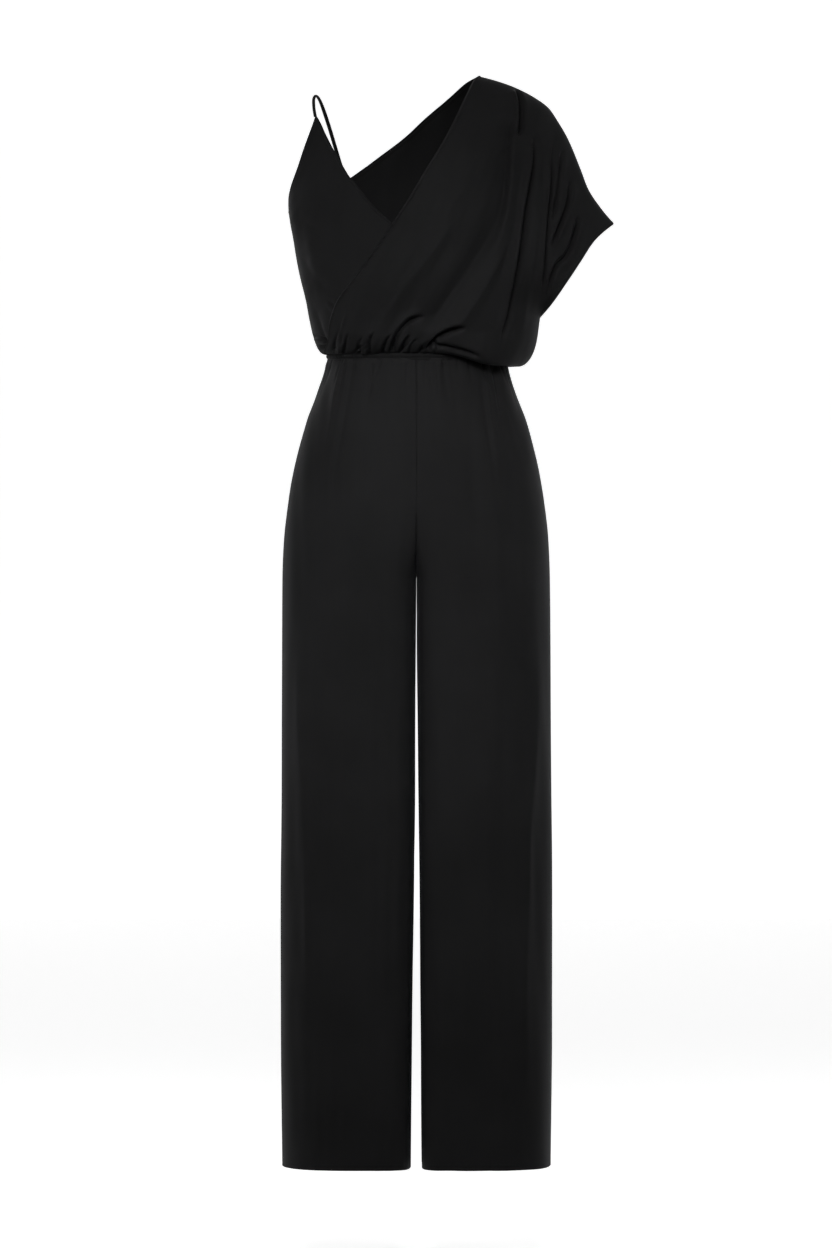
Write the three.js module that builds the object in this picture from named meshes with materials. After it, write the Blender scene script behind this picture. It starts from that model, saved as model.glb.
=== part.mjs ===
// A one-shoulder jumpsuit, hollow, as it hangs on a standing wearer. The bodice wraps over at the front,
// hangs from one draped shoulder with a wide sleeve and from a thin strap on the other, and blouses over a
// narrow elastic casing. Straight wide trousers hang below it. Sizes are in millimetres. x runs across the
// wearer, plus on the sleeve's side, y is minus at the front, and z is the height above the trouser hem.
// The exported group is moved so that its origin is where the shoulder carries the cloth.
import * as THREE from "three";

// Cloth and seams
const CLOTH = 1.6;
const SEAM_GAP = 0.3;
const EDGE = SEAM_GAP / 2;
const LAYER = CLOTH + 0.6;
const UNDER_WRAP_FALL = 7;

// Heights
const SHOULDER_Z = 1496;
const STRAP_PEAK_Z = 1440;
const BACK_CORNER_Z = 1300;
const SLEEVE_TIP_Z = 1294;
const UNDERARM_Z = 1165;
const BLOUSE_Z = 1142;
const CASING_TOP_Z = 1114.8;
const CASING_BOTTOM_Z = 1105.6;
const CROTCH_Z = 808;

// Waist: half widths of the cloth's outer face at the casing
const WAIST_X = 122;
const WAIST_Y = 88;

// Outlines of the bodice from the front: x for a height z. Each table runs upwards.
const SIDES = [
  { z: 1100, strapSide: -134, sleeveSide: 161 },
  { z: 1142, strapSide: -142, sleeveSide: 166.6 },
  { z: 1165, strapSide: -147.4, sleeveSide: 169.7 },
  { z: 1190, strapSide: -152.1, sleeveSide: 173.5 },
  { z: 1217, strapSide: -158.9, sleeveSide: 176 },
  { z: 1244, strapSide: -164.5, sleeveSide: 178 },
  { z: 1272, strapSide: -169, sleeveSide: 180 },
  { z: 1300, strapSide: -174, sleeveSide: 180 },
  { z: 1330, strapSide: -176.5, sleeveSide: 180 },
  { z: 1496, strapSide: -176.5, sleeveSide: 180 },
];
const SLEEVE_TOP = [
  { z: 1294, x: 270.5 },
  { z: 1313, x: 254.4 },
  { z: 1341, x: 235.6 },
  { z: 1368, x: 225.1 },
  { z: 1409, x: 208 },
  { z: 1437, x: 191.8 },
  { z: 1452, x: 181.2 },
  { z: 1467, x: 160.8 },
  { z: 1481, x: 133 },
  { z: 1490, x: 107 },
  { z: 1496, x: 84 },
];
const SLEEVE_HEM = [
  { z: 1165, x: 169.7 },
  { z: 1189, x: 189 },
  { z: 1217, x: 208.3 },
  { z: 1244, x: 226.1 },
  { z: 1272, x: 244.8 },
  { z: 1286, x: 259.5 },
  { z: 1294, x: 270.5 },
];
const WRAP_NECKLINE = [
  { z: 1142, x: -120.5 },
  { z: 1155, x: -119 },
  { z: 1181, x: -110.7 },
  { z: 1220, x: -81.8 },
  { z: 1258, x: -53.6 },
  { z: 1289, x: -33 },
  { z: 1317, x: -14.4 },
  { z: 1361, x: 11.7 },
  { z: 1401, x: 35.8 },
  { z: 1437, x: 54.3 },
  { z: 1480, x: 73.6 },
  { z: 1490, x: 78.5 },
  { z: 1496, x: 84 },
];
const STRAP_NECKLINE = [
  { z: 1142, x: 84 },
  { z: 1165, x: 74 },
  { z: 1215, x: 38 },
  { z: 1259, x: 0 },
  { z: 1290, x: -33 },
  { z: 1312, x: -57 },
  { z: 1341, x: -81 },
  { z: 1357, x: -94 },
  { z: 1382, x: -108.5 },
  { z: 1409, x: -123 },
  { z: 1431, x: -133 },
  { z: 1440, x: -137.4 },
];
const STRAP_ARMHOLE = [
  { z: 1300, x: -174 },
  { z: 1312, x: -175.6 },
  { z: 1325, x: -175.6 },
  { z: 1341, x: -172.8 },
  { z: 1357, x: -168.4 },
  { z: 1382, x: -160 },
  { z: 1409, x: -150.6 },
  { z: 1431, x: -142.3 },
  { z: 1440, x: -139.2 },
];
const BACK_TOP_EDGE = [
  { z: 1300, x: -174 },
  { z: 1335, x: -130 },
  { z: 1362, x: -89.5 },
  { z: 1387, x: -54.8 },
  { z: 1414, x: -18.5 },
  { z: 1436, x: 6.2 },
  { z: 1457, x: 31.1 },
  { z: 1477, x: 54.4 },
  { z: 1486, x: 65.2 },
  { z: 1496, x: 84 },
];

// Fullness of the bodice in front of and behind the side seams, for a height
const BODICE_DEPTH = [
  { z: 1100, front: 98, back: 92 },
  { z: 1142, front: 112, back: 99 },
  { z: 1180, front: 121, back: 103 },
  { z: 1230, front: 126, back: 105 },
  { z: 1300, front: 124, back: 107 },
  { z: 1496, front: 124, back: 108 },
];
// The cloth falls away from the shoulder line as gain times the distance below it to this power
const FALL = {
  front: { gain: 7.1, power: 0.53 },
  back: { gain: 8.5, power: 0.5 },
};
const STRAP_SHOULDER = [
  { x: -176, z: 1455 },
  { x: -84, z: 1496 },
];
const SIDE_ROUND_STRAP = 130;
const SIDE_ROUND_SLEEVE = 120;
const SIDE_ROUND_POWER = 2.2;
const SLEEVE_SLIM = { from: 150, to: 230, share: 0.25 };

// Folds of the draped side and of the back: from (x0, z0) at the top to (x1, z1), bowed sideways by bow
// halfway. A fold goes in by depth over its half width, and lip raises the cloth on its outer side. A
// minus depth is a soft ridge.
const FRONT_FOLDS = [
  { x0: 137, z0: 1482, x1: 141, z1: 1408, bow: 3, width: 6, depth: 6.5, lip: 3 },
  { x0: 129, z0: 1436, x1: 101, z1: 1262, bow: 14, width: 9, depth: 3.5, lip: 2 },
  { x0: 163, z0: 1440, x1: 117, z1: 1142, bow: 9, width: 11, depth: 6, lip: 3.5 },
  { x0: 190, z0: 1424, x1: 171, z1: 1180, bow: -2, width: 9, depth: 6, lip: 2.5 },
  { x0: 202, z0: 1404, x1: 184, z1: 1284, bow: 2, width: 7, depth: 4, lip: 2 },
  { x0: 214, z0: 1362, x1: 186, z1: 1262, bow: 5, width: 7, depth: 4, lip: 2 },
  { x0: 226, z0: 1312, x1: 177, z1: 1186, bow: 3, width: 8, depth: 4, lip: 2 },
  { x0: 112, z0: 1400, x1: 20, z1: 1150, bow: 12, width: 24, depth: 5, lip: 0 },
  { x0: 78, z0: 1420, x1: -50, z1: 1160, bow: 10, width: 26, depth: -3.5, lip: 0 },
  { x0: 128, z0: 1300, x1: 52, z1: 1150, bow: 6, width: 22, depth: -4, lip: 0 },
  { x0: 40, z0: 1320, x1: -70, z1: 1165, bow: 4, width: 18, depth: 2.5, lip: 0 },
];
const BACK_FOLDS = [
  { x0: 140, z0: 1470, x1: 118, z1: 1160, bow: 8, width: 12, depth: 6, lip: 3 },
  { x0: 176, z0: 1440, x1: 160, z1: 1190, bow: 4, width: 9, depth: 5, lip: 2.5 },
  { x0: 204, z0: 1398, x1: 178, z1: 1200, bow: 3, width: 8, depth: 4, lip: 2 },
  { x0: 104, z0: 1440, x1: 50, z1: 1160, bow: 8, width: 20, depth: 5, lip: 0 },
  { x0: 60, z0: 1440, x1: -30, z1: 1165, bow: 6, width: 24, depth: -3.5, lip: 0 },
  { x0: 0, z0: 1400, x1: -80, z1: 1165, bow: 5, width: 18, depth: 3, lip: 0 },
];

// The blouse hangs over the casing on the sleeve's side. Overhang is 0 where it drops straight into the
// casing, and 1 where it hangs furthest, for an angle round the waist from the centre front, plus towards
// the sleeve.
const OVERHANG = [
  { angle: -180, share: 0.25 },
  { angle: -90, share: 0 },
  { angle: 8, share: 0 },
  { angle: 50, share: 1 },
  { angle: 125, share: 1 },
  { angle: 180, share: 0.25 },
];
// Its section is a curve with two handles: the first leads down and in from the blouse, and the second
// leads up and out from the casing's top edge. Where the blouse hangs over, the cloth turns back up
// outside the casing. Where a panel lies under another, it bulges less, by hiddenIn.
const ROLL = {
  drop: { short: 15, long: 49 },
  lean: { short: 4.5, long: 7 },
  handleUp: { short: 0, long: -28 },
  handleOut: { short: 15, long: 8 },
  endUp: { short: 0.4, long: 0.2 },
  endOut: { short: 0, long: 3 },
  hiddenIn: 14,
};

// Gathers round the waist
const BODICE_GATHERS = 34;
const BODICE_GATHER_HEIGHT = 2.6;
const TROUSER_GATHERS = 32;
const TROUSER_GATHER_HEIGHT = 2.2;
const TROUSER_GATHER_FADE = 52;

// Where each front reaches at the waist, in degrees from the centre front
const WRAP_WAIST_FROM = -78;
const STRAP_FRONT_WAIST_TO = 50;

// Trousers: outer and inner half widths of the legs, and their depth in front and behind, for a height
const TROUSERS = [
  { z: 0, outer: 184.6, inner: 7.6, front: 82, back: 84 },
  { z: 200, outer: 186.4, inner: 6, front: 86, back: 89 },
  { z: 364, outer: 186.4, inner: 4.5, front: 89, back: 95 },
  { z: 500, outer: 185.3, inner: 3, front: 94, back: 103 },
  { z: 640, outer: 184.4, inner: 1.9, front: 101, back: 113 },
  { z: 808, outer: 183.3, inner: 0.3, front: 112, back: 127 },
  { z: 860, outer: 181.4, inner: 0.2, front: 116, back: 134 },
  { z: 915, outer: 175.2, inner: 0.2, front: 118, back: 138 },
  { z: 970, outer: 165, inner: 0.2, front: 115, back: 134 },
  { z: 1025, outer: 149.8, inner: 0.2, front: 107, back: 121 },
  { z: 1065, outer: 134.8, inner: 0.2, front: 98, back: 104 },
  { z: 1093, outer: 125.2, inner: 0.2, front: 90, back: 91 },
  { z: 1106, outer: 122.6, inner: 0.2, front: 87.6, back: 88 },
];
const SECTION_POWER = 2.25;
const CROTCH_RISE = { front: 105, back: 125 };
const LEVEL_WITH_WAIST_Z = 1075;
const GATHERS_END_Z = 935;

// Casing and strap
const CASING_DEEP = 4.2;
const CASING_SEGMENTS = 96;
const CASING_RUCHES = 32;
const CASING_RUCHE_HEIGHT = 0.45;
const STRAP_WIDTH = 4.4;
const STRAP_THICK = 3.4;
const STRAP_SIDES = 8;
const STRAP_STEPS = 26;

// Heights of the rows of points of each panel, and how far apart the points of a row are
const BODICE_ROWS = [
  1496, 1494, 1490, 1484, 1476, 1466, 1454, 1440, 1424, 1407, 1389, 1371, 1353, 1335, 1318, 1305, 1294,
  1283, 1268, 1252, 1236, 1220, 1204, 1188, 1175, 1165, 1154, 1142,
];
const STRAP_FRONT_ROWS = [
  1440, 1432, 1420, 1406, 1390, 1373, 1355, 1337, 1318, 1300, 1282, 1264, 1246, 1228, 1210, 1192, 1176,
  1165, 1154, 1142,
];
const ROLL_STEPS = 6;
const WRAP_POINT_STEP = 9.5;
const BACK_POINT_STEP = 12.5;
const STRAP_FRONT_POINT_STEP = 15;
const GATHER_POINT_STEP = 7.4;
const HIP_ROWS = [1105.3, 1099, 1091, 1080, 1065, 1045, 1018, 985, 948];
const RISE_SHARES = [1, 0.93, 0.84, 0.72, 0.58, 0.42, 0.24, 0];
const LEG_ROWS = [770, 700, 600, 480, 340, 170, 0];
const LEG_POINTS = 12;
const WAIST_POINTS = 27;

// Where the wearer's shoulder carries the cloth: the part's origin
const SHOULDER_REST = { x: 112, y: 0, z: 1487.5 - CLOTH };

const COLOURS = { cloth: 0x1a1a1b, wrongSide: 0x161617, casing: 0x181819, strap: 0x151516 };

const clamp01 = (v) => Math.min(1, Math.max(0, v));
const smooth = (from, to, v) => {
  const t = clamp01((v - from) / (to - from));
  return t * t * (3 - 2 * t);
};
const radians = (degrees) => (degrees * Math.PI) / 180;

// One column of a table at a place between its rows, on a smooth curve that doesn't overshoot
function read(table, column, at, key = "z") {
  const last = table.length - 1;
  if (at <= table[0][key]) return table[0][column];
  if (at >= table[last][key]) return table[last][column];
  let i = 0;
  while (at > table[i + 1][key]) i += 1;
  const slope = (a, b) => (table[b][column] - table[a][column]) / (table[b][key] - table[a][key]);
  const here = slope(i, i + 1);
  const tangent = (k) => {
    if (k === 0 || k === last) return here;
    const before = slope(k - 1, k);
    const after = slope(k, k + 1);
    return before * after <= 0 ? 0 : (2 * before * after) / (before + after);
  };
  const span = table[i + 1][key] - table[i][key];
  const t = (at - table[i][key]) / span;
  const t2 = t * t;
  const t3 = t2 * t;
  return (
    (2 * t3 - 3 * t2 + 1) * table[i][column] +
    (t3 - 2 * t2 + t) * span * tangent(i) +
    (3 * t2 - 2 * t3) * table[i + 1][column] +
    (t3 - t2) * span * tangent(i + 1)
  );
}

// Points down a table's curve, close together, for measuring distances to it
function sampled(table, column, from, to, count) {
  return Array.from({ length: count + 1 }, (_, i) => {
    const z = from + ((to - from) * i) / count;
    return { x: read(table, column, z), z };
  });
}
const SHOULDER_LINE = [...STRAP_SHOULDER, ...sampled(SLEEVE_TOP, "x", SHOULDER_Z, SLEEVE_TIP_Z, 60)];
const SLEEVE_SIDE_SEAM = sampled(SIDES, "sleeveSide", 1100, UNDERARM_Z, 6);

function distanceTo(line, x, z) {
  let best = Infinity;
  for (let i = 0; i + 1 < line.length; i += 1) {
    const dx = line[i + 1].x - line[i].x;
    const dz = line[i + 1].z - line[i].z;
    const t = clamp01(((x - line[i].x) * dx + (z - line[i].z) * dz) / (dx * dx + dz * dz));
    best = Math.min(best, Math.hypot(x - line[i].x - t * dx, z - line[i].z - t * dz));
  }
  return best;
}

// How much of the full depth the cloth has at a distance from a side seam, round like a tube's side
const rounded = (distance, radius) => {
  const left = (1 - clamp01(distance / radius)) ** SIDE_ROUND_POWER;
  return (1 - left) ** (1 / SIDE_ROUND_POWER);
};

// Depth of the bodice's plain shape from the side seams' plane, for a place in the front view
function bodiceDepth(face, x, z) {
  const below = distanceTo(SHOULDER_LINE, x, z);
  const slim = 1 - SLEEVE_SLIM.share * smooth(SLEEVE_SLIM.from, SLEEVE_SLIM.to, x);
  const fall = FALL[face].gain * below ** FALL[face].power * slim;
  const full = read(BODICE_DEPTH, face, z);
  const depth = fall > 0 ? (fall ** -6 + full ** -6) ** (-1 / 6) : 0;
  const strapSide = rounded(x - read(SIDES, "strapSide", z), SIDE_ROUND_STRAP);
  const sleeveSide = rounded(distanceTo(SLEEVE_SIDE_SEAM, x, z), SIDE_ROUND_SLEEVE);
  return depth * strapSide * sleeveSide;
}

// How far the folds move the cloth out at a place in the front view
function foldsAt(folds, x, z) {
  let sum = 0;
  for (const fold of folds) {
    const dx = fold.x1 - fold.x0;
    const dz = fold.z1 - fold.z0;
    const length = Math.hypot(dx, dz);
    const t = ((x - fold.x0) * dx + (z - fold.z0) * dz) / (length * length);
    if (t <= 0 || t >= 1) continue;
    const side = ((x - fold.x0) * -dz + (z - fold.z0) * dx) / length - fold.bow * 4 * t * (1 - t);
    const fade = smooth(0, 0.12, t) * smooth(1, 0.62, t);
    const q = side / fold.width;
    sum += fade * (fold.lip * Math.exp(-((q - 1.7) ** 2)) - fold.depth * Math.exp(-q * q));
  }
  return sum;
}

// Unevenly spaced gathers round the waist: 0 in a trough, 1 on a crest
function gatherAt(count, angle) {
  const uneven = 0.9 * Math.sin(3 * angle + 0.7) + 0.8 * Math.sin(8 * angle) + 0.5 * Math.sin(13 * angle);
  return (0.5 + 0.5 * Math.cos(count * angle + uneven)) ** 1.4;
}

// Where a share across a bodice panel comes to on the waist, as an angle from the centre front
function waistAngle(panel, u) {
  const degrees = panel.waist[0] + (panel.waist[1] - panel.waist[0]) * eased(u);
  return panel.face === "front" ? degrees : 180 - degrees;
}

// A panel of the bodice above the roll, over an interval of x at each height
function facePoint(face, folds, inset, x, z) {
  const sign = face === "front" ? -1 : 1;
  const plain = (px, pz) => new THREE.Vector3(px, sign * bodiceDepth(face, px, pz), pz);
  const step = 0.6;
  const across = plain(x + step, z).sub(plain(x - step, z));
  const up = plain(x, z + step).sub(plain(x, z - step));
  const normal = across.cross(up).normalize();
  if (sign > 0) normal.negate();
  const fade = smooth(2, 26, bodiceDepth(face, x, z));
  const out = fade * foldsAt(folds, x, z) - inset(x, z);
  return plain(x, z).addScaledVector(normal, out);
}

const wrapInset = () => 0;
const backInset = () => 0;
// The strap side's front lies under the wrap: level with it at the wrap's edge, and further in where the
// wrap is full
function strapFrontInset(x, z) {
  const seam = x - read(SIDES, "strapSide", z);
  const under = x - read(WRAP_NECKLINE, "x", z);
  return LAYER * smooth(1, 14, seam) + UNDER_WRAP_FALL * smooth(-4, 55, under);
}

// Panels as data: which face of the body they cover, and where their rows run
const PANELS = {
  wrap_front_with_sleeve: {
    face: "front",
    folds: FRONT_FOLDS,
    inset: wrapInset,
    rows: BODICE_ROWS,
    left: (z) => read(WRAP_NECKLINE, "x", z),
    right: (z) => sleeveSideX(z),
    waist: [WRAP_WAIST_FROM, 90],
    waistInset: 0,
    seamRight: (z) => z >= SLEEVE_TIP_Z || z <= UNDERARM_Z,
    seamLeft: () => false,
    step: WRAP_POINT_STEP,
  },
  strap_side_front: {
    face: "front",
    folds: [],
    inset: strapFrontInset,
    rows: STRAP_FRONT_ROWS,
    left: (z) => (z >= BACK_CORNER_Z ? read(STRAP_ARMHOLE, "x", z) : read(SIDES, "strapSide", z)),
    right: (z) => read(STRAP_NECKLINE, "x", z),
    waist: [-90, STRAP_FRONT_WAIST_TO],
    waistInset: LAYER,
    seamRight: () => false,
    seamLeft: (z) => z <= BACK_CORNER_Z,
    step: STRAP_FRONT_POINT_STEP,
  },
  back_with_sleeve: {
    face: "back",
    folds: BACK_FOLDS,
    inset: backInset,
    rows: BODICE_ROWS,
    left: (z) => (z >= BACK_CORNER_Z ? read(BACK_TOP_EDGE, "x", z) : read(SIDES, "strapSide", z)),
    right: (z) => sleeveSideX(z),
    waist: [-90, 90],
    waistInset: 0,
    seamRight: (z) => z >= SLEEVE_TIP_Z || z <= UNDERARM_Z,
    seamLeft: (z) => z <= BACK_CORNER_Z,
    step: BACK_POINT_STEP,
  },
};

function sleeveSideX(z) {
  if (z >= SLEEVE_TIP_Z) return read(SLEEVE_TOP, "x", z);
  if (z >= UNDERARM_Z) return read(SLEEVE_HEM, "x", z);
  return read(SIDES, "sleeveSide", z);
}

// Shares along a row, closer together towards the side seams where the cloth turns away
const eased = (u) => 0.5 * u + 0.5 * (0.5 - 0.5 * Math.cos(Math.PI * u));

// The point of a panel at share u across and height z, with a row's seam ends kept on the seam's plane
function panelPoint(panel, u, z) {
  const sign = panel.face === "front" ? -1 : 1;
  const left = panel.left(z);
  const right = panel.right(z);
  const x = left + (right - left) * eased(u);
  const onSeam = (u >= 1 && panel.seamRight(z)) || (u <= 0 && panel.seamLeft(z));
  const point = onSeam ? new THREE.Vector3(x, 0, z) : facePoint(panel.face, panel.folds, panel.inset, x, z);
  point.y = sign * Math.max(EDGE, sign * point.y);
  const nearWaist = smooth(UNDERARM_Z + 20, CASING_TOP_Z, z);
  point.addScaledVector(outward(point), nearWaist * gatherLift(panel, u));
  point.y = sign * Math.max(EDGE, sign * point.y);
  return point;
}

const outward = (point) => new THREE.Vector3(point.x / WAIST_X, point.y / WAIST_Y, 0).normalize();

// Gathers lift the cloth from a little above the roll down to the casing, less where a panel lies under
// another
const hiddenShare = (panel, u) => (panel.waistInset > 0 ? smooth(0, 0.06, u) : 0);

function gatherLift(panel, u) {
  const crest = gatherAt(BODICE_GATHERS, radians(waistAngle(panel, u)));
  return BODICE_GATHER_HEIGHT * (1 - hiddenShare(panel, u)) * crest;
}

// The roll of the blouse, from the panel's last row down, in and up to the casing; t runs from 0 to 1
function rollPoint(panel, u, t) {
  const sign = panel.face === "front" ? -1 : 1;
  const under = panel.waistInset > 0;
  const degrees = waistAngle(panel, u);
  const share = under ? 0 : read(OVERHANG, "share", degrees > 180 ? degrees - 360 : degrees, "angle");
  const mix = ({ short, long }) => short + (long - short) * share;
  const angle = radians(degrees);
  const away = new THREE.Vector3(Math.sin(angle), -Math.cos(angle), 0);
  const start = panelPoint(panel, u, BLOUSE_Z);
  const end = new THREE.Vector3(WAIST_X * away.x, WAIST_Y * away.y, CASING_TOP_Z + mix(ROLL.endUp));
  end.addScaledVector(away, mix(ROLL.endOut) - panel.waistInset);
  const startHandle = start.clone().addScaledVector(outward(start), -mix(ROLL.lean));
  startHandle.z -= mix(ROLL.drop);
  const bulge = mix(ROLL.handleOut) - ROLL.hiddenIn * hiddenShare(panel, u);
  const endHandle = end.clone().addScaledVector(away, bulge);
  endHandle.z += mix(ROLL.handleUp);
  const point = new THREE.CubicBezierCurve3(start, startHandle, endHandle, end).getPoint(t);
  const lift = Math.sin(Math.PI * t) * (1 - 0.6 * share) * gatherLift(panel, u);
  point.addScaledVector(away, lift);
  point.y = sign * Math.max(EDGE, sign * point.y);
  return point;
}

// A point and its outward normal, from the surface's own slopes. A seam's end has its normal in the seam's
// plane.
function withNormal(surface, u, v, turn, plane) {
  const du = 1e-3;
  const dv = surface.stepV;
  const u0 = Math.max(0, u - du);
  const u1 = Math.min(1, u + du);
  const v0 = Math.max(surface.fromV, v - dv);
  const v1 = Math.min(surface.toV, v + dv);
  const across = surface.at(u1, v).sub(surface.at(u0, v));
  const along = surface.at(u, v1).sub(surface.at(u, v0));
  const normal = across.cross(along).multiplyScalar(turn);
  if (plane) normal[plane] = 0;
  return { point: surface.at(u, v), normal: normal.normalize() };
}

// The rows of a bodice panel: down the body, then round the roll
function bodiceRows(panel) {
  const turn = panel.face === "front" ? 1 : -1;
  const topZ = panel.rows[0];
  const body = { at: (u, z) => panelPoint(panel, u, z), fromV: BLOUSE_Z, toV: topZ, stepV: 0.5 };
  const roll = { at: (u, t) => rollPoint(panel, u, t), fromV: 0, toV: 1, stepV: 0.01 };
  const waistArc = (radians(panel.waist[1] - panel.waist[0]) * (WAIST_X + WAIST_Y)) / 2;
  const rollCount = Math.round(waistArc / GATHER_POINT_STEP);
  const rows = panel.rows.map((z) => {
    const width = panel.right(z) - panel.left(z);
    const plainCount = Math.max(1, Math.round(width / panel.step));
    const count = z <= UNDERARM_Z ? rollCount : plainCount;
    const shares = width < 1 ? [1] : Array.from({ length: count + 1 }, (_, i) => i / count);
    return shares.map((u) => {
      const atSeam = (u >= 1 && panel.seamRight(z)) || (u <= 0 && panel.seamLeft(z));
      const nearU = Math.min(0.996, Math.max(0.004, u));
      const safeU = width < 1 ? 0.5 : atSeam ? nearU : u;
      const { normal } = withNormal(body, safeU, Math.min(z, topZ - 0.6), turn, atSeam ? "y" : null);
      return { u, point: body.at(u, z), normal: width < 1 ? peakNormal(panel) : normal };
    });
  });
  for (let step = 1; step <= ROLL_STEPS; step += 1) {
    const t = step / ROLL_STEPS;
    rows.push(
      Array.from({ length: rollCount + 1 }, (_, i) => {
        const u = i / rollCount;
        const atSeam = (u >= 1 && panel.seamRight(BLOUSE_Z)) || (u <= 0 && panel.seamLeft(BLOUSE_Z));
        const found = withNormal(roll, u, t, -turn, atSeam ? "y" : null);
        return { u, point: found.point, normal: found.normal };
      }),
    );
  }
  return rows;
}

// The wall's direction at the single point on top of a panel that runs up to the shoulder seam
function peakNormal(panel) {
  return new THREE.Vector3(-0.25, panel.face === "front" ? -0.05 : 0.05, 1).normalize();
}

// Joins two rows of points, which may have different numbers of them, with triangles
function joinRows(rowA, rowB, firstA, firstB, faces, flip) {
  let i = 0;
  let j = 0;
  while (i < rowA.length - 1 || j < rowB.length - 1) {
    const nextA = i < rowA.length - 1 ? rowA[i + 1].u : Infinity;
    const nextB = j < rowB.length - 1 ? rowB[j + 1].u : Infinity;
    const chooseA = nextA < nextB;
    const a = firstA + i;
    const b = firstB + j;
    const c = chooseA ? firstA + i + 1 : firstB + j + 1;
    faces.push(...(flip ? [a, c, b] : [a, b, c]));
    if (chooseA) i += 1;
    else j += 1;
  }
}

// A closed wall of cloth from rows of points with normals: outer face, inner face and the rim between
// them. keep holds the inner face on the panel's own side of its seams.
function clothWall(rows, thickness, flip, keep) {
  const positions = [];
  const starts = [];
  for (const row of rows) {
    starts.push(positions.length / 3);
    for (const { point } of row) positions.push(point.x, point.y, point.z);
  }
  const inner = positions.length / 3;
  for (const row of rows) {
    for (const { point, normal } of row) {
      const within = keep(point.clone().addScaledVector(normal, -thickness));
      positions.push(within.x, within.y, within.z);
    }
  }
  const faces = [];
  const quad = (a, b, c, d) => faces.push(...(flip ? [a, c, b, a, d, c] : [a, b, c, a, c, d]));
  for (let r = 0; r + 1 < rows.length; r += 1) {
    joinRows(rows[r], rows[r + 1], starts[r], starts[r + 1], faces, flip);
    joinRows(rows[r], rows[r + 1], inner + starts[r], inner + starts[r + 1], faces, !flip);
    const firstHere = starts[r];
    const firstNext = starts[r + 1];
    const lastHere = starts[r] + rows[r].length - 1;
    const lastNext = starts[r + 1] + rows[r + 1].length - 1;
    quad(firstHere, inner + firstHere, inner + firstNext, firstNext);
    quad(lastHere, lastNext, inner + lastNext, inner + lastHere);
  }
  for (let a = 0; a + 1 < rows[0].length; a += 1) quad(a, a + 1, inner + a + 1, inner + a);
  for (let a = starts[rows.length - 1]; a + 1 < inner; a += 1) quad(a, inner + a, inner + a + 1, a + 1);
  const geometry = new THREE.BufferGeometry();
  geometry.setAttribute("position", new THREE.Float32BufferAttribute(positions, 3));
  geometry.setIndex(faces);
  geometry.computeVertexNormals();
  return geometry;
}

// One of the four trouser panels: side is -1 or 1 across, face is "front" or "back", and u runs from the
// centre to the side seam. A section is two arcs that meet where it is deepest. The inner one comes down
// to the inside leg seam below the crotch and levels out above it, and the deepest place moves in towards
// the centre on the way up to the waist.
function trouserPoint(side, face, u, z) {
  const sign = face === "front" ? -1 : 1;
  const deep = read(TROUSERS, face, z);
  const outer = read(TROUSERS, "outer", z);
  const inner = Math.max(EDGE, read(TROUSERS, "inner", z));
  const power = 2 / SECTION_POWER;
  const rise = clamp01((z - CROTCH_Z) / CROTCH_RISE[face]);
  const seamShare = Math.sqrt(1 - (1 - rise) ** 2);
  const inwards = 1 - smooth(CROTCH_Z - 60, LEVEL_WITH_WAIST_Z, z);
  const middle = ((outer + inner) / 2) * inwards;
  const split = Math.max(1e-6, 0.5 * inwards);
  const inArc = u < split;
  const turn = (Math.PI / 2) * (inArc ? 1 - u / split : (u - split) / (1 - split));
  const across = Math.sin(turn) ** power;
  const deepShare = Math.max(0, Math.cos(turn)) ** power;
  const x = inArc ? middle - (middle - inner) * across : middle + (outer - middle) * across;
  const y = deep * (inArc ? deepShare + (1 - deepShare) * seamShare ** (1 + (2 * u) / split) : deepShare);
  const point = new THREE.Vector3(side * Math.max(EDGE, x), sign * Math.max(EDGE, y), z);
  const angle = Math.atan2(point.x / WAIST_X, -point.y / WAIST_Y);
  const offSeams = smooth(0, 0.05, u) * smooth(1, 0.95, u);
  const fade = Math.exp(-((CASING_BOTTOM_Z - z) / TROUSER_GATHER_FADE)) * offSeams;
  const lift = TROUSER_GATHER_HEIGHT * fade * (gatherAt(TROUSER_GATHERS, angle) - 0.35);
  return z > GATHERS_END_Z ? point.addScaledVector(outward(point), lift) : point;
}

function trouserRows(side, face) {
  const riseAt = (share) => CROTCH_Z + CROTCH_RISE[face] * (1 - Math.sqrt(1 - share * share));
  const riseRows = RISE_SHARES.map(riseAt);
  const heights = [...HIP_ROWS, ...riseRows, ...LEG_ROWS];
  const surface = { at: (u, z) => trouserPoint(side, face, u, z), fromV: 0, toV: HIP_ROWS[0], stepV: 0.5 };
  const turn = side * (face === "front" ? 1 : -1);
  return heights.map((z, row) => {
    const count = Math.round(LEG_POINTS + (WAIST_POINTS - LEG_POINTS) * smooth(7, 4, row));
    return Array.from({ length: count + 1 }, (_, i) => {
      const u = i / count;
      const above = z > CROTCH_Z + CROTCH_RISE[face] - 1;
      const plane = u >= 1 || (u <= 0 && !above) ? "y" : u <= 0 ? "x" : null;
      const safeU = u >= 1 ? 0.997 : u <= 0 ? 0.003 : u;
      const { normal } = withNormal(surface, safeU, z, turn, plane === "y" && u <= 0 ? null : plane);
      if (row === 0 || row === heights.length - 1) normal.setZ(0).normalize();
      if (u <= 0 && !above) normal.set(-side, 0, 0);
      return { u, point: surface.at(u, z), normal };
    });
  });
}

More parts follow.
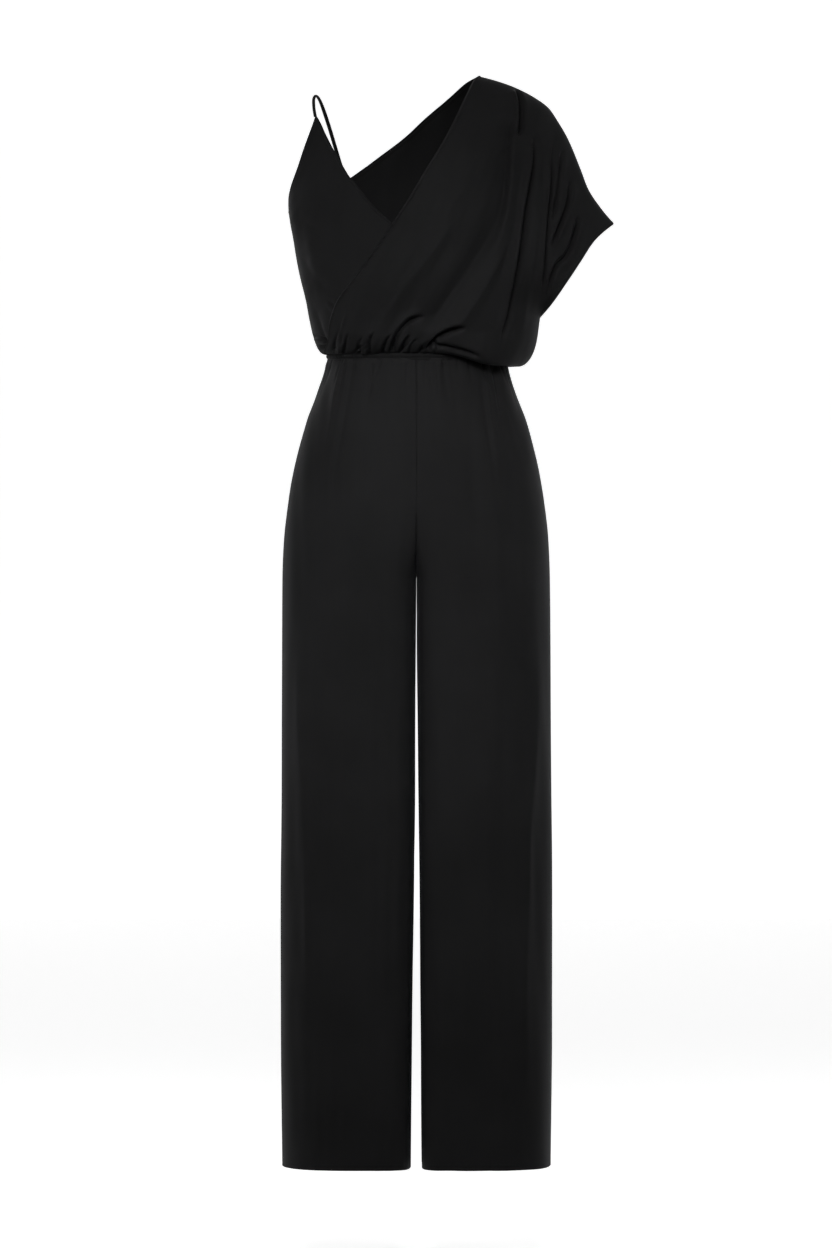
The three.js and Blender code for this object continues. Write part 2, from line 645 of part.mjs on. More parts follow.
// The elastic casing: a narrow soft band, lightly ruched, closed round the waist
function casingGeometry() {
  const tall = CASING_TOP_Z - CASING_BOTTOM_Z;
  const section = [
    [0, 0.5],
    [0.72, 0.5],
    [1, 0.3],
    [1, -0.3],
    [0.72, -0.5],
    [0, -0.5],
  ];
  const positions = [];
  for (let i = 0; i < CASING_SEGMENTS; i += 1) {
    const angle = (2 * Math.PI * i) / CASING_SEGMENTS;
    const ruche = CASING_RUCHE_HEIGHT * Math.cos(CASING_RUCHES * angle);
    for (const [out, up] of section) {
      const reach = -CASING_DEEP + 1 + out * (CASING_DEEP + ruche);
      const x = (WAIST_X + reach) * Math.sin(angle);
      const y = -(WAIST_Y + reach) * Math.cos(angle);
      positions.push(x, y, (CASING_TOP_Z + CASING_BOTTOM_Z) / 2 + up * tall);
    }
  }
  const faces = [];
  const sides = section.length;
  for (let i = 0; i < CASING_SEGMENTS; i += 1) {
    const next = (i + 1) % CASING_SEGMENTS;
    for (let k = 0; k < sides; k += 1) {
      const up = (k + 1) % sides;
      faces.push(i * sides + k, i * sides + up, next * sides + up);
      faces.push(i * sides + k, next * sides + up, next * sides + k);
    }
  }
  const geometry = new THREE.BufferGeometry();
  geometry.setAttribute("position", new THREE.Float32BufferAttribute(positions, 3));
  geometry.setIndex(faces);
  geometry.computeVertexNormals();
  return geometry;
}

// The strap: a thin flattened tube from the point of the strap side's front, over the shoulder, to the
// back's edge
function strapGeometry() {
  const frontEnd = panelPoint(PANELS.strap_side_front, 0.5, STRAP_PEAK_Z);
  const backEndX = -97.5;
  const backEndZ = read(BACK_TOP_EDGE, "z", backEndX, "x") + 0.3;
  const backEnd = facePoint("back", BACK_FOLDS, backInset, backEndX, backEndZ);
  const inset = CLOTH / 2;
  const path = new THREE.CatmullRomCurve3([
    new THREE.Vector3(frontEnd.x, frontEnd.y + inset, STRAP_PEAK_Z - 0.15),
    new THREE.Vector3(-140.2, -24.5, 1451),
    new THREE.Vector3(-140.6, -11.5, 1463.5),
    new THREE.Vector3(-137.6, 1, 1468.8),
    new THREE.Vector3(-132.6, 15, 1463),
    new THREE.Vector3(-126, 31, 1446),
    new THREE.Vector3(-117.6, 50, 1420),
    new THREE.Vector3(-108, 70, 1388),
    new THREE.Vector3(backEnd.x - 0.6, backEnd.y - inset, backEndZ + 0.4),
  ]);
  const oval = new THREE.Shape();
  for (let k = 0; k < STRAP_SIDES; k += 1) {
    const a = (2 * Math.PI * k) / STRAP_SIDES;
    const x = (STRAP_THICK / 2) * Math.cos(a);
    const y = (STRAP_WIDTH / 2) * Math.sin(a);
    if (k === 0) oval.moveTo(x, y);
    else oval.lineTo(x, y);
  }
  oval.closePath();
  return new THREE.ExtrudeGeometry(oval, { steps: STRAP_STEPS, extrudePath: path, bevelEnabled: false });
}

function material(colour, roughness) {
  return new THREE.MeshStandardMaterial({ color: colour, roughness, metalness: 0, side: THREE.DoubleSide });
}

const garment = new THREE.Group();
garment.name = "jumpsuit";
garment.position.set(-SHOULDER_REST.x, -SHOULDER_REST.y, -SHOULDER_REST.z);

function add(name, geometry, look) {
  const mesh = new THREE.Mesh(geometry, look);
  mesh.name = name;
  garment.add(mesh);
}

const beyondEdge = (v, sign) => sign * Math.max(EDGE, sign * v);

for (const [name, panel] of Object.entries(PANELS)) {
  const sign = panel.face === "front" ? -1 : 1;
  const keep = (point) => point.setY(beyondEdge(point.y, sign));
  add(name, clothWall(bodiceRows(panel), CLOTH, sign > 0, keep), material(COLOURS.cloth, 0.8));
}
for (const side of [-1, 1]) {
  for (const face of ["front", "back"]) {
    const sign = face === "front" ? -1 : 1;
    const name = `trouser_${face}_${side < 0 ? "strap_side" : "sleeve_side"}`;
    const keep = (point) => point.setX(beyondEdge(point.x, side)).setY(beyondEdge(point.y, sign));
    add(name, clothWall(trouserRows(side, face), CLOTH, side === sign, keep), material(COLOURS.cloth, 0.8));
  }
}
add("waist_casing", casingGeometry(), material(COLOURS.casing, 0.85));
add("shoulder_strap", strapGeometry(), material(COLOURS.strap, 0.75));

const root = new THREE.Group();
root.add(garment);

export default root;
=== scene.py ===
import math

import bpy
import numpy as np
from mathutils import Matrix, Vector


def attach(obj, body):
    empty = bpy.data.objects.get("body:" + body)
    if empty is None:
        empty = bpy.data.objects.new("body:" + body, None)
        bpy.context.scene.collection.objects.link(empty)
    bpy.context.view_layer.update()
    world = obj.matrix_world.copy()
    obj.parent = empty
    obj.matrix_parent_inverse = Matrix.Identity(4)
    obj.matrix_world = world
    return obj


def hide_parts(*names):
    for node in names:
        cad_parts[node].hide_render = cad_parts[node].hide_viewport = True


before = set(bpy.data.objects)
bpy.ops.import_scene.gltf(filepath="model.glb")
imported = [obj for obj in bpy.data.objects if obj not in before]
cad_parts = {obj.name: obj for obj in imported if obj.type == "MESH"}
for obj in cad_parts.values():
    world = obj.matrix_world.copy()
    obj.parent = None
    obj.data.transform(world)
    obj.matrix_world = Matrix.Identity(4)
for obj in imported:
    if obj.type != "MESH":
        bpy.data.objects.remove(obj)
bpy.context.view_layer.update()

# Sizes below are in millimetres in the garment's own frame: x across, plus on the sleeve's side, y minus at
# the front, z up from the trouser hem. ORIGIN is where the model's origin lies in that frame.
MM = 0.001
ORIGIN = np.array([112.0, 0.0, 1485.9])

# Cloth, and how far from a seam's plane a panel stays
CLOTH = 0.9
EDGE = 0.03
SEAM_ALLOWANCE = 6.0
TURNING = 0.45
TURNING_SUNK = 0.08
# A cloth's rim stands out by a share of its thickness. A rolled edge rises and then falls away.
RIM = 0.4
ROLLED_WITHIN = (4.6, 2.8)
ROLLED_TO_EDGE = (2.6, 0)
ROLLED_OVER = 1.6

SHOULDER_Z = 1496.0
STRAP_PEAK_Z = 1440.0
SLEEVE_TIP_Z = 1294.0
BACK_CORNER_Z = 1300.0
UNDERARM_Z = 1165.0
BLOUSE_Z = 1142.0
CASING_TOP_Z = 1114.8
CASING_BOTTOM_Z = 1105.6
CROTCH_Z = 808.0
HEM_Z = 2.0
WAIST_X = 122.0
WAIST_Y = 88.0
WAIST_RADIUS = (WAIST_X + WAIST_Y) / 2
LAYER = 2.2
UNDER_WRAP_FALL = 13.0
# The strap widens a little down the back
STRAP_THICK = 3.2
STRAP_WIDE = 4.3
STRAP_WIDER = 1.0


def table(names, *rows):
    """A table as named columns."""
    return dict(zip(names.split(), np.array(rows, float).T))


SIDES = table(
    "z strap_side sleeve_side",
    (1100, -134, 161),
    (1142, -142, 166.6),
    (1165, -147.4, 169.7),
    (1190, -152.1, 173.5),
    (1217, -158.9, 176),
    (1244, -164.5, 178),
    (1272, -169, 180),
    (1300, -174, 180),
    (1330, -176.5, 180),
    (1496, -176.5, 180),
)
SLEEVE_TOP = table(
    "z x",
    (1294, 270.5),
    (1313, 254.4),
    (1341, 235.6),
    (1368, 225.1),
    (1409, 208),
    (1437, 191.8),
    (1452, 181.2),
    (1467, 160.8),
    (1481, 133),
    (1490, 107),
    (1496, 84),
)
SLEEVE_HEM = table(
    "z x",
    (1165, 169.7),
    (1189, 189),
    (1217, 208.3),
    (1244, 226.1),
    (1272, 244.8),
    (1286, 259.5),
    (1294, 270.5),
)
WRAP_NECKLINE = table(
    "z x",
    (1142, -120.5),
    (1155, -119),
    (1181, -110.7),
    (1220, -81.8),
    (1258, -53.6),
    (1289, -33),
    (1317, -14.4),
    (1361, 11.7),
    (1401, 35.8),
    (1437, 54.3),
    (1480, 73.6),
    (1490, 78.5),
    (1496, 84),
)
STRAP_NECKLINE = table(
    "z x",
    (1142, 84),
    (1165, 74),
    (1215, 38),
    (1259, 0),
    (1290, -33),
    (1312, -57),
    (1341, -81),
    (1357, -94),
    (1382, -108.5),
    (1409, -123),
    (1431, -133),
    (1440, -137.4),
)
STRAP_ARMHOLE = table(
    "z x",
    (1300, -174),
    (1312, -175.6),
    (1325, -175.6),
    (1341, -172.8),
    (1357, -168.4),
    (1382, -160),
    (1409, -150.6),
    (1431, -142.3),
    (1440, -139.2),
)
BACK_TOP_EDGE = table(
    "z x",
    (1300, -174),
    (1335, -130),
    (1362, -89.5),
    (1387, -54.8),
    (1414, -18.5),
    (1436, 6.2),
    (1457, 31.1),
    (1477, 54.4),
    (1486, 65.2),
    (1496, 84),
)
BODICE_DEPTH = table(
    "z front back",
    (1100, 98, 92),
    (1142, 112, 99),
    (1180, 121, 103),
    (1230, 126, 105),
    (1300, 124, 107),
    (1496, 124, 108),
)
# The cloth falls away from the shoulder line as gain times the distance below it to a power
FALL = {"front": (7.1, 0.53), "back": (8.5, 0.5)}
# How sharply the fall turns into the full depth, and how the sides round off
FALL_TURN = 6
SIDE_ROUND_STRAP = 130.0
SIDE_ROUND_SLEEVE = 120.0
SIDE_POWER = 2.2
# The sleeve is slimmer towards its tip, between two places across
SLEEVE_SLIMMER = 0.25
SLEEVE_SLIM_AT = (150, 230)
BLOUSE_LEFT = {"front": -120.5, "back": -142}
BLOUSE_RIGHT = 166.6

# How far the blouse hangs over the casing, for an angle round the waist, and the handles of its roll's
# curve where it drops straight in and where it hangs furthest
OVERHANG = table("angle share", (-180, 0.25), (-90, 0), (8, 0), (50, 1), (125, 1), (180, 0.25))
ROLL = {
    "drop": (15, 49),
    "lean": (4.5, 7),
    "handle_up": (1.2, -27),
    "handle_out": (15.9, 11.9),
}
# The roll ends inside the casing: how far down, and how far in
ROLL_END = (0.8, 0.9)
ROLL_STEPS = 24
ROLL_HEIGHT = 34.0
ROLL_HIDDEN_IN = 14.0
PINCH = 0.16
FLATTER_MIDDLE = 0.6
# A lip that hangs forward, about an angle round the waist
FRONT_LIP = 11.0
FRONT_LIP_AT = 42.0
FRONT_LIP_SPREAD = 30.0
# Where each bodice panel starts and ends at the waist, in degrees from the centre, and its puff there
WRAP_WAIST = (-78.0, 90.0)
STRAP_FRONT_WAIST = (-90.0, 50.0)
BACK_WAIST = (-90.0, 90.0)
PUFF = 2.2
TROUSER_PUFF = 1.1
ENDS_WITHIN = 4.0
# Soft unevenness of the cloth: a seed or what is added to it, size, height, stretch and slant
BODICE_WAVES = [(0, 60, 0.6, 3.5, -0.35), (20, 19, 0.16, 2.5, -0.35)]
TROUSER_WAVES = [(11, 70, 0.8, 9), (31, 26, 0.3, 8)]

TROUSERS = table(
    "z outer inner front back",
    (0, 184.6, 7.6, 82, 84),
    (200, 186.4, 6, 86, 89),
    (364, 186.4, 4.5, 89, 95),
    (500, 185.3, 3, 94, 103),
    (640, 184.4, 1.9, 101, 113),
    (808, 183.3, 0.3, 112, 127),
    (860, 181.4, 0.2, 116, 134),
    (915, 175.2, 0.2, 118, 138),
    (970, 165, 0.2, 115, 134),
    (1025, 149.8, 0.2, 107, 121),
    (1065, 134.8, 0.2, 98, 104),
    (1093, 125.2, 0.2, 90, 91),
    (1106, 122.6, 0.2, 87.6, 88),
)
SECTION_POWER = 2.25
INNER_SECTION_POWER = 5.5
FORK_SOFTNESS = 0.25
RISE_POWER = 2.2
CROTCH_RISE = {"front": 105.0, "back": 125.0}
# Below the first height a leg is round on both sides, and above the second it follows the waist
SECTION_CHANGES = (748.0, 1075.0)
INNER_EASE = 0.15
HIP_ROWS = 62
RISE_ROWS = 34
RISE_ROWS_CLOSER = 1.6
LEG_ROWS = 70
TROUSER_COLUMNS = 138
INTO_CASING = 1.2
HELD_AT_CASING = 1.6
SEAM_GROOVE = 0.7
SEAM_GROOVE_SHARES = (0.011, 0.008)

# The photo's view: a camera at hip height, far away
CAMERA = {"distance": 9000.0, "height": 900.0, "aim_z": 745.0, "frame_height": 1712.0}
SENSOR = 24
# The stage reaches past the camera's distance, so that no view is from outside it. The room is in metres.
STAGE = {"floor": -125, "front": -150, "bend_from": 7500, "bend_radius": 3500, "top": 21000, "half": 21000}
ROOM_RADIUS = 30


def at_model(points):
    """Garment millimetres to the model's metres."""
    return (np.asarray(points, float) - ORIGIN) * MM


def make_camera():
    data = bpy.data.cameras.new("camera")
    camera = bpy.data.objects.new("camera", data)
    bpy.context.scene.collection.objects.link(camera)
    data.sensor_fit = "VERTICAL"
    data.sensor_height = SENSOR
    data.lens = SENSOR * CAMERA["distance"] / CAMERA["frame_height"]
    data.clip_end = 2 * ROOM_RADIUS
    place = at_model((-0.7, -CAMERA["distance"], CAMERA["height"]))
    tilt = math.atan2(CAMERA["height"] - CAMERA["aim_z"], CAMERA["distance"])
    camera.location = place
    camera.rotation_euler = (math.pi / 2 - tilt, 0, 0)
    bpy.context.scene.camera = camera


make_camera()


def smooth(start, end, v):
    t = np.clip((np.asarray(v, float) - start) / (end - start), 0, 1)
    return t * t * (3 - 2 * t)


def read(rows, column, at, key="z"):
    """A column of a table at places between its rows, on a smooth curve that doesn't overshoot."""
    keys = rows[key]
    values = rows[column]
    at = np.clip(np.asarray(at, float), keys[0], keys[-1])
    slope = np.diff(values) / np.diff(keys)
    before = slope[:-1]
    after = slope[1:]
    level = before * after <= 0
    inside = np.where(level, 0, 2 * before * after / np.where(level, 1, before + after))
    tangent = np.concatenate([slope[:1], inside, slope[-1:]])
    i = np.clip(np.searchsorted(keys, at, side="right") - 1, 0, len(keys) - 2)
    span = keys[i + 1] - keys[i]
    t = (at - keys[i]) / span
    t2 = t * t
    t3 = t2 * t
    return (
        (2 * t3 - 3 * t2 + 1) * values[i]
        + (t3 - 2 * t2 + t) * span * tangent[i]
        + (3 * t2 - 2 * t3) * values[i + 1]
        + (t3 - t2) * span * tangent[i + 1]
    )


def down_curve(rows, column, top, bottom, count=80):
    """Points (x, z) down a table's curve."""
    z = np.linspace(top, bottom, count)
    return np.stack([read(rows, column, z), z], axis=1)


STRAP_SHOULDER = [(-176, 1455), (-84, 1496)]
SLEEVE_TOP_LINE = down_curve(SLEEVE_TOP, "x", SHOULDER_Z, SLEEVE_TIP_Z, 100)
SHOULDER_LINE = np.vstack([STRAP_SHOULDER, SLEEVE_TOP_LINE])
SLEEVE_SIDE_SEAM = down_curve(SIDES, "sleeve_side", UNDERARM_Z, 1100, 8)
SLEEVE_HEM_LINE = down_curve(SLEEVE_HEM, "x", SLEEVE_TIP_Z, UNDERARM_Z, 60)
BELOW_UNDERARM = down_curve(SIDES, "sleeve_side", UNDERARM_Z - 1, BLOUSE_Z, 12)
SLEEVE_EDGE_LINE = np.vstack([SLEEVE_HEM_LINE, BELOW_UNDERARM])


def along_line(line, x, z):
    """Distance to a line of points, minus on its left as it is seen going down, and how far along it the
    nearest place is, from 0 to 1, and the direction across it there."""
    step = np.diff(line, axis=0)
    lengths = np.hypot(step[:, 0], step[:, 1])
    before = np.concatenate([[0], np.cumsum(lengths)])
    best = np.full(np.shape(x), np.inf)
    side = np.zeros(np.shape(x))
    share = np.zeros(np.shape(x))
    over = np.zeros((*np.shape(x), 2))
    for k, (dx, dz) in enumerate(step):
        px = x - line[k, 0]
        pz = z - line[k, 1]
        t = np.clip((px * dx + pz * dz) / lengths[k] ** 2, 0, 1)
        distance = np.hypot(px - t * dx, pz - t * dz)
        nearer = distance < best
        best = np.where(nearer, distance, best)
        side = np.where(nearer, np.sign(pz * dx - px * dz), side)
        share = np.where(nearer, (before[k] + t * lengths[k]) / before[-1], share)
        over[nearer] = (-dz / lengths[k], dx / lengths[k])
    return best * side, share, over


def rounded(distance, radius):
    q = 1 - np.clip(distance / radius, 0, 1)
    return (1 - q**SIDE_POWER) ** (1 / SIDE_POWER)


def bodice_depth(face, x, z):
    """Depth of the bodice's plain shape from the plane of the side seams."""
    below = np.abs(along_line(SHOULDER_LINE, x, z)[0])
    slim = 1 - SLEEVE_SLIMMER * smooth(*SLEEVE_SLIM_AT, x)
    gain, power = FALL[face]
    fall = np.maximum(gain * below**power * slim, 1e-6)
    full = read(BODICE_DEPTH, face, z)
    depth = (fall**-FALL_TURN + full**-FALL_TURN) ** (-1 / FALL_TURN)
    strap_side = rounded(x - read(SIDES, "strap_side", z), SIDE_ROUND_STRAP)
    sleeve_side = rounded(np.abs(along_line(SLEEVE_SIDE_SEAM, x, z)[0]), SIDE_ROUND_SLEEVE)
    return depth * strap_side * sleeve_side


def spline(points, count=24):
    """A smooth line through a few points."""
    p = np.array(points, float)
    p = np.vstack([2 * p[0] - p[1], p, 2 * p[-1] - p[-2]])
    out = []
    for i in range(1, len(p) - 2):
        t = np.linspace(0, 1, max(3, count // (len(p) - 3)), endpoint=False)[:, None]
        a, b, c, d = p[i - 1 : i + 3]
        curve = 2 * b + (c - a) * t + (2 * a - 5 * b + 4 * c - d) * t**2 + (3 * b - a - 3 * c + d) * t**3
        out.append(0.5 * curve)
    return np.vstack(out + [p[-2:-1]])


def fold(points, width, depth, left=0.0, right=0.0, ends=(0.15, 0.3), slow=(1.0, 1.0), lean=0.0):
    """A fold down a line of (x, z) points: a valley of the given depth over its half width, with lips
    raised on its left and right as it is seen. A minus depth is a ridge. It fades over the given shares of
    its ends. slow widens the valley's left and right wall, and lean pushes the left lip over it."""
    shape = {"width": width, "depth": depth, "lips": (left, right)}
    return {"line": spline(points), "ends": ends, "slow": slow, "lean": lean, **shape}


def bump(q, centre, inner, outer):
    """A soft bump that falls off faster before its centre than after it."""
    d = q - centre
    return np.exp(-((d / np.where(d < 0, inner, outer)) ** 2))


# In half widths of a fold: how far it reaches, where its lips stand, and where a leaning one is pushed
FOLD_REACH = 6
LIP_AT = 1.9
LEAN_AT = 1.3


def folds_at(folds, x, z):
    """How far the folds move the cloth out, and sideways as (x, z), at places in the front or back view."""
    out = np.zeros(np.shape(x))
    slide = np.zeros((*np.shape(x), 2))
    for f in folds:
        line = f["line"]
        reach = FOLD_REACH * f["width"] * max(f["slow"])
        near = (
            (x > line[:, 0].min() - reach)
            & (x < line[:, 0].max() + reach)
            & (z > line[:, 1].min() - reach)
            & (z < line[:, 1].max() + reach)
        )
        if not near.any():
            continue
        distance, share, over = along_line(line, x[near], z[near])
        q = distance / f["width"]
        q = q / np.where(q < 0, f["slow"][0], f["slow"][1])
        fade = smooth(0, f["ends"][0], share) * smooth(1, 1 - f["ends"][1], share)
        shape = -f["depth"] * np.exp(-1.2 * np.abs(q) ** 1.5)
        shape += f["lips"][0] * bump(-q, LIP_AT, 0.85, 2.1)
        shape += f["lips"][1] * bump(q, LIP_AT, 0.85, 2.1)
        out[near] += fade * shape
        if f["lean"]:
            pushed = f["lean"] * fade * bump(-q, LEAN_AT, 0.8, 1.7)
            slide[near] += pushed[:, None] * over
    return out, slide


def waves(x, z, seed, size, height, stretch, slant=0.0):
    """Soft unevenness: a sum of a few waves, longer down the cloth than across it."""
    rng = np.random.default_rng(seed)
    total = np.zeros(np.shape(x))
    for _ in range(9):
        across = rng.uniform(0.55, 1.6) * 2 * math.pi / size
        down = rng.uniform(-1, 1) * 2 * math.pi / (size * stretch)
        total += np.sin(across * (x + slant * z) + down * z + rng.uniform(0, 2 * math.pi))
    return height * total / 3


def gathers(count, seed, width, depth, height, lean=0.3):
    """Gathers set unevenly round the waist, each with its angle, half width, depth, height and lean."""
    rng = np.random.default_rng(seed)
    angle = (np.arange(count) + rng.uniform(-0.4, 0.4, count)) * 2 * math.pi / count
    ranges = (width, depth, height, (-lean, lean))
    return np.stack([angle, *(rng.uniform(low, high, count) for low, high in ranges)], axis=1)


def pulled_in(rows, angle, away):
    """How far gathers pull the cloth in, at an angle round the waist and a distance from the casing."""
    total = np.zeros(np.shape(angle))
    for place, width, depth, height, lean in rows:
        turn = (angle - place + math.pi) % (2 * math.pi) - math.pi
        q = np.abs(turn * WAIST_RADIUS - lean * away) / (width * (1 + 1.2 * away / height))
        total += depth * np.exp(-1.2 * q**1.5) * np.exp(-((away / height) ** 2))
    return total


def normals_of(grid):
    """Unit normals of a grid of points; they point along rows crossed with columns."""
    down = np.gradient(grid, axis=0)
    across = np.gradient(grid, axis=1)
    n = np.cross(across, down)
    length = np.linalg.norm(n, axis=2, keepdims=True)
    return n / np.maximum(length, 1e-9)


def facing(grid, outward):
    """Normals of a grid on the side that outward points to at its middle."""
    n = normals_of(grid)
    middle = n[grid.shape[0] // 2, grid.shape[1] // 2]
    return -n if np.dot(middle, outward) < 0 else n


def run_from(grid, edge):
    """Distances over the cloth from one of its edges."""
    axis = 0 if edge in ("top", "bottom") else 1
    lengths = np.linalg.norm(np.diff(grid, axis=axis), axis=2)
    start = np.zeros_like(np.take(lengths, [0], axis))
    run = np.concatenate([start, np.cumsum(lengths, axis=axis)], axis=axis)
    return run if edge in ("top", "left") else np.take(run, [-1], axis) - run


def shell(name, grid, outward, thickness=CLOTH, hems=(), keep=None):
    """A closed sheet of cloth, and the points of its inner face. grid holds its outer face's points, in
    rows. outward is the direction that its middle faces. hems gives edges that are turned back as an edge,
    the width of the turning, how much thicker it is, and how far its rolled edge stands up. keep holds
    points on the panel's own side of its seams."""
    n = facing(grid, outward)
    thick = np.full((*grid.shape[:2], 1), thickness)
    grid = grid.copy()
    for edge, width, extra, rolled in hems:
        run = run_from(grid, edge)[..., None]
        thick += extra * smooth(width + 1.2, width - 0.4, run)
        grid += n * rolled * (smooth(*ROLLED_WITHIN, run) - ROLLED_OVER * smooth(*ROLLED_TO_EDGE, run))
    inner = grid - n * thick
    if keep is not None:
        grid = keep(grid)
        inner = keep(inner)
    rows, columns = grid.shape[:2]
    index = np.arange(rows * columns).reshape(rows, columns)
    ring = np.concatenate([index[0], index[1:, -1], index[-1, -2::-1], index[-2:0:-1, 0]])
    i, j = np.divmod(ring, columns)
    a = grid[i, j]
    b = inner[i, j]
    away = a - grid[np.clip(i, 1, rows - 2), np.clip(j, 1, columns - 2)]
    away -= n[i, j] * np.sum(away * n[i, j], axis=1, keepdims=True)
    away /= np.maximum(np.linalg.norm(away, axis=1, keepdims=True), 1e-6)
    rim = (a + b) / 2 + away * thick[i, j] * RIM
    if keep is not None:
        rim = keep(rim)
    points = np.vstack([grid.reshape(-1, 3), inner.reshape(-1, 3), rim])
    corners = (index[:-1, :-1], index[:-1, 1:], index[1:, 1:], index[1:, :-1])
    quads = np.stack(corners, axis=-1).reshape(-1, 4)
    low = rows * columns
    mid = 2 * low + np.arange(len(ring))
    after = np.roll(ring, -1)
    mid_after = np.roll(mid, -1)
    faces = np.vstack(
        [
            quads,
            quads[:, ::-1] + low,
            np.stack([after, ring, mid, mid_after], axis=1),
            np.stack([mid_after, mid, ring + low, after + low], axis=1),
        ]
    )
    r = rows // 2
    c = columns // 2
    turned = np.cross(grid[r, c + 1] - grid[r, c], grid[r + 1, c] - grid[r, c])
    if np.dot(turned, n[r, c]) < 0:
        faces = faces[:, ::-1]
    return mesh_piece(name, points, faces), inner


def mesh_piece(name, points, faces):
    mesh = bpy.data.meshes.new(name)
    mesh.from_pydata(at_model(points).tolist(), [], [tuple(int(v) for v in f) for f in faces])
    mesh.validate()
    mesh.polygons.foreach_set("use_smooth", [True] * len(mesh.polygons))
    mesh.update()
    piece = bpy.data.objects.new(name, mesh)
    bpy.context.scene.collection.objects.link(piece)
    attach(piece, "root")
    return piece


# Folds of the wrap, as they show in the photo. The first group hangs from the covered shoulder.
WRAP_FOLDS = [
    fold(
        [(136, 1480), (142, 1462), (143, 1441), (140, 1410)],
        2.4, 11, left=3, right=1.6, ends=(0.1, 0.12),
    ),
    fold([(138, 1410), (146, 1400), (157, 1398)], 3.4, -2.2, ends=(0.3, 0.4)),
    fold(
        [(130, 1440), (126, 1400), (123, 1350), (116, 1302), (100, 1254)],
        13, 9, right=2.4, slow=(1.7, 0.22),
    ),
    fold(
        [(160, 1418), (159, 1371), (149, 1309), (139, 1241), (127, 1180), (115, 1128)],
        2.8, 12, left=3.6, right=0.8, ends=(0.12, 0.12), slow=(1, 2.1), lean=2,
    ),
    fold(
        [(189, 1417), (183, 1345), (178, 1283), (175, 1241), (171, 1188)],
        2.4, 10.5, left=2.8, right=1.2, ends=(0.3, 0.2), slow=(1, 1.5), lean=1.6,
    ),
    fold([(199, 1396), (193, 1338), (185, 1287)], 2.2, 8.5, left=2, right=1.4, ends=(0.2, 0.3)),
    fold(
        [(211, 1355), (206, 1318), (190, 1276), (183, 1258)],
        2.4, 9, left=2, right=2.4, ends=(0.2, 0.2),
    ),
    fold(
        [(223, 1307), (216, 1277), (205, 1249), (191, 1235), (183, 1215), (176, 1183)],
        2.5, 8, left=1.8, right=2.4,
    ),
    fold([(176, 1400), (171, 1330), (166, 1262)], 4.5, 2.2, left=1, ends=(0.3, 0.5)),
    fold(
        [(116, 1316), (100, 1272), (74, 1232), (40, 1184), (10, 1140)],
        11, 9.5, ends=(0.3, 0.15), slow=(1.5, 0.9),
    ),
    fold([(143, 1392), (141, 1337), (132, 1272), (112, 1216), (92, 1170)], 7.5, 3.6, ends=(0.25, 0.4)),
    fold([(126, 1262), (86, 1193), (52, 1140)], 9, -5.2, ends=(0.35, 0.2)),
    fold([(64, 1310), (18, 1247), (-22, 1199), (-56, 1145)], 12, -6, ends=(0.35, 0.2)),
    fold([(174, 1393), (170, 1324), (160, 1255), (148, 1187), (142, 1130)], 6, -2.6, ends=(0.3, 0.2)),
    fold([(36, 1290), (-2, 1238), (-44, 1180), (-68, 1142)], 9, 4.6, ends=(0.4, 0.15)),
    fold([(88, 1452), (84, 1400), (62, 1340)], 16, 2.2, ends=(0.3, 0.5)),
    fold([(152, 1240), (140, 1180), (132, 1128)], 7, 1.8, ends=(0.4, 0.15)),
]
# The second group is pulled together at the waist
WRAP_WAIST_FOLDS = [
    fold(
        [(-33, 1114), (-28, 1134), (-18, 1149), (-6, 1159), (14, 1163)],
        2.8, 9, right=3.4, ends=(0.05, 0.3),
    ),
    fold([(13, 1117), (28, 1134), (47, 1144), (69, 1149)], 3, 12, left=1, right=3.2, ends=(0.06, 0.25)),
    fold([(14, 1127), (45, 1121), (67, 1115), (90, 1107)], 2.6, 9, left=0.8, right=0.8, ends=(0.1, 0.25)),
    fold([(-21, 1115), (-16, 1129), (-6, 1139)], 1.7, 3.2, right=1.6, ends=(0.05, 0.5)),
    fold([(-10, 1114), (-6, 1126), (4, 1134)], 1.6, 2.6, right=1.4, ends=(0.05, 0.5)),
    fold([(-44, 1114), (-41, 1129), (-32, 1142)], 1.9, 3.6, right=1.6, ends=(0.05, 0.5)),
    fold([(-62, 1114), (-62, 1132), (-53, 1148)], 2.2, 4, right=1.8, ends=(0.05, 0.5)),
    fold([(-76, 1114), (-77, 1127), (-70, 1138)], 2, 3.2, left=1.2, ends=(0.05, 0.5)),
    fold([(-104, 1114), (-103, 1139), (-97, 1162), (-92, 1182)], 1.9, -2.2, ends=(0.05, 0.5)),
    fold([(-112, 1114), (-109, 1135), (-103, 1150)], 1.5, 3.4, left=1, ends=(0.05, 0.5)),
    fold([(-97, 1114), (-95, 1130), (-90, 1146)], 1.6, 3, right=1.4, ends=(0.05, 0.5)),
    fold([(4, 1114), (8, 1124), (16, 1130)], 1.6, 2.6, right=1, ends=(0.05, 0.5)),
]
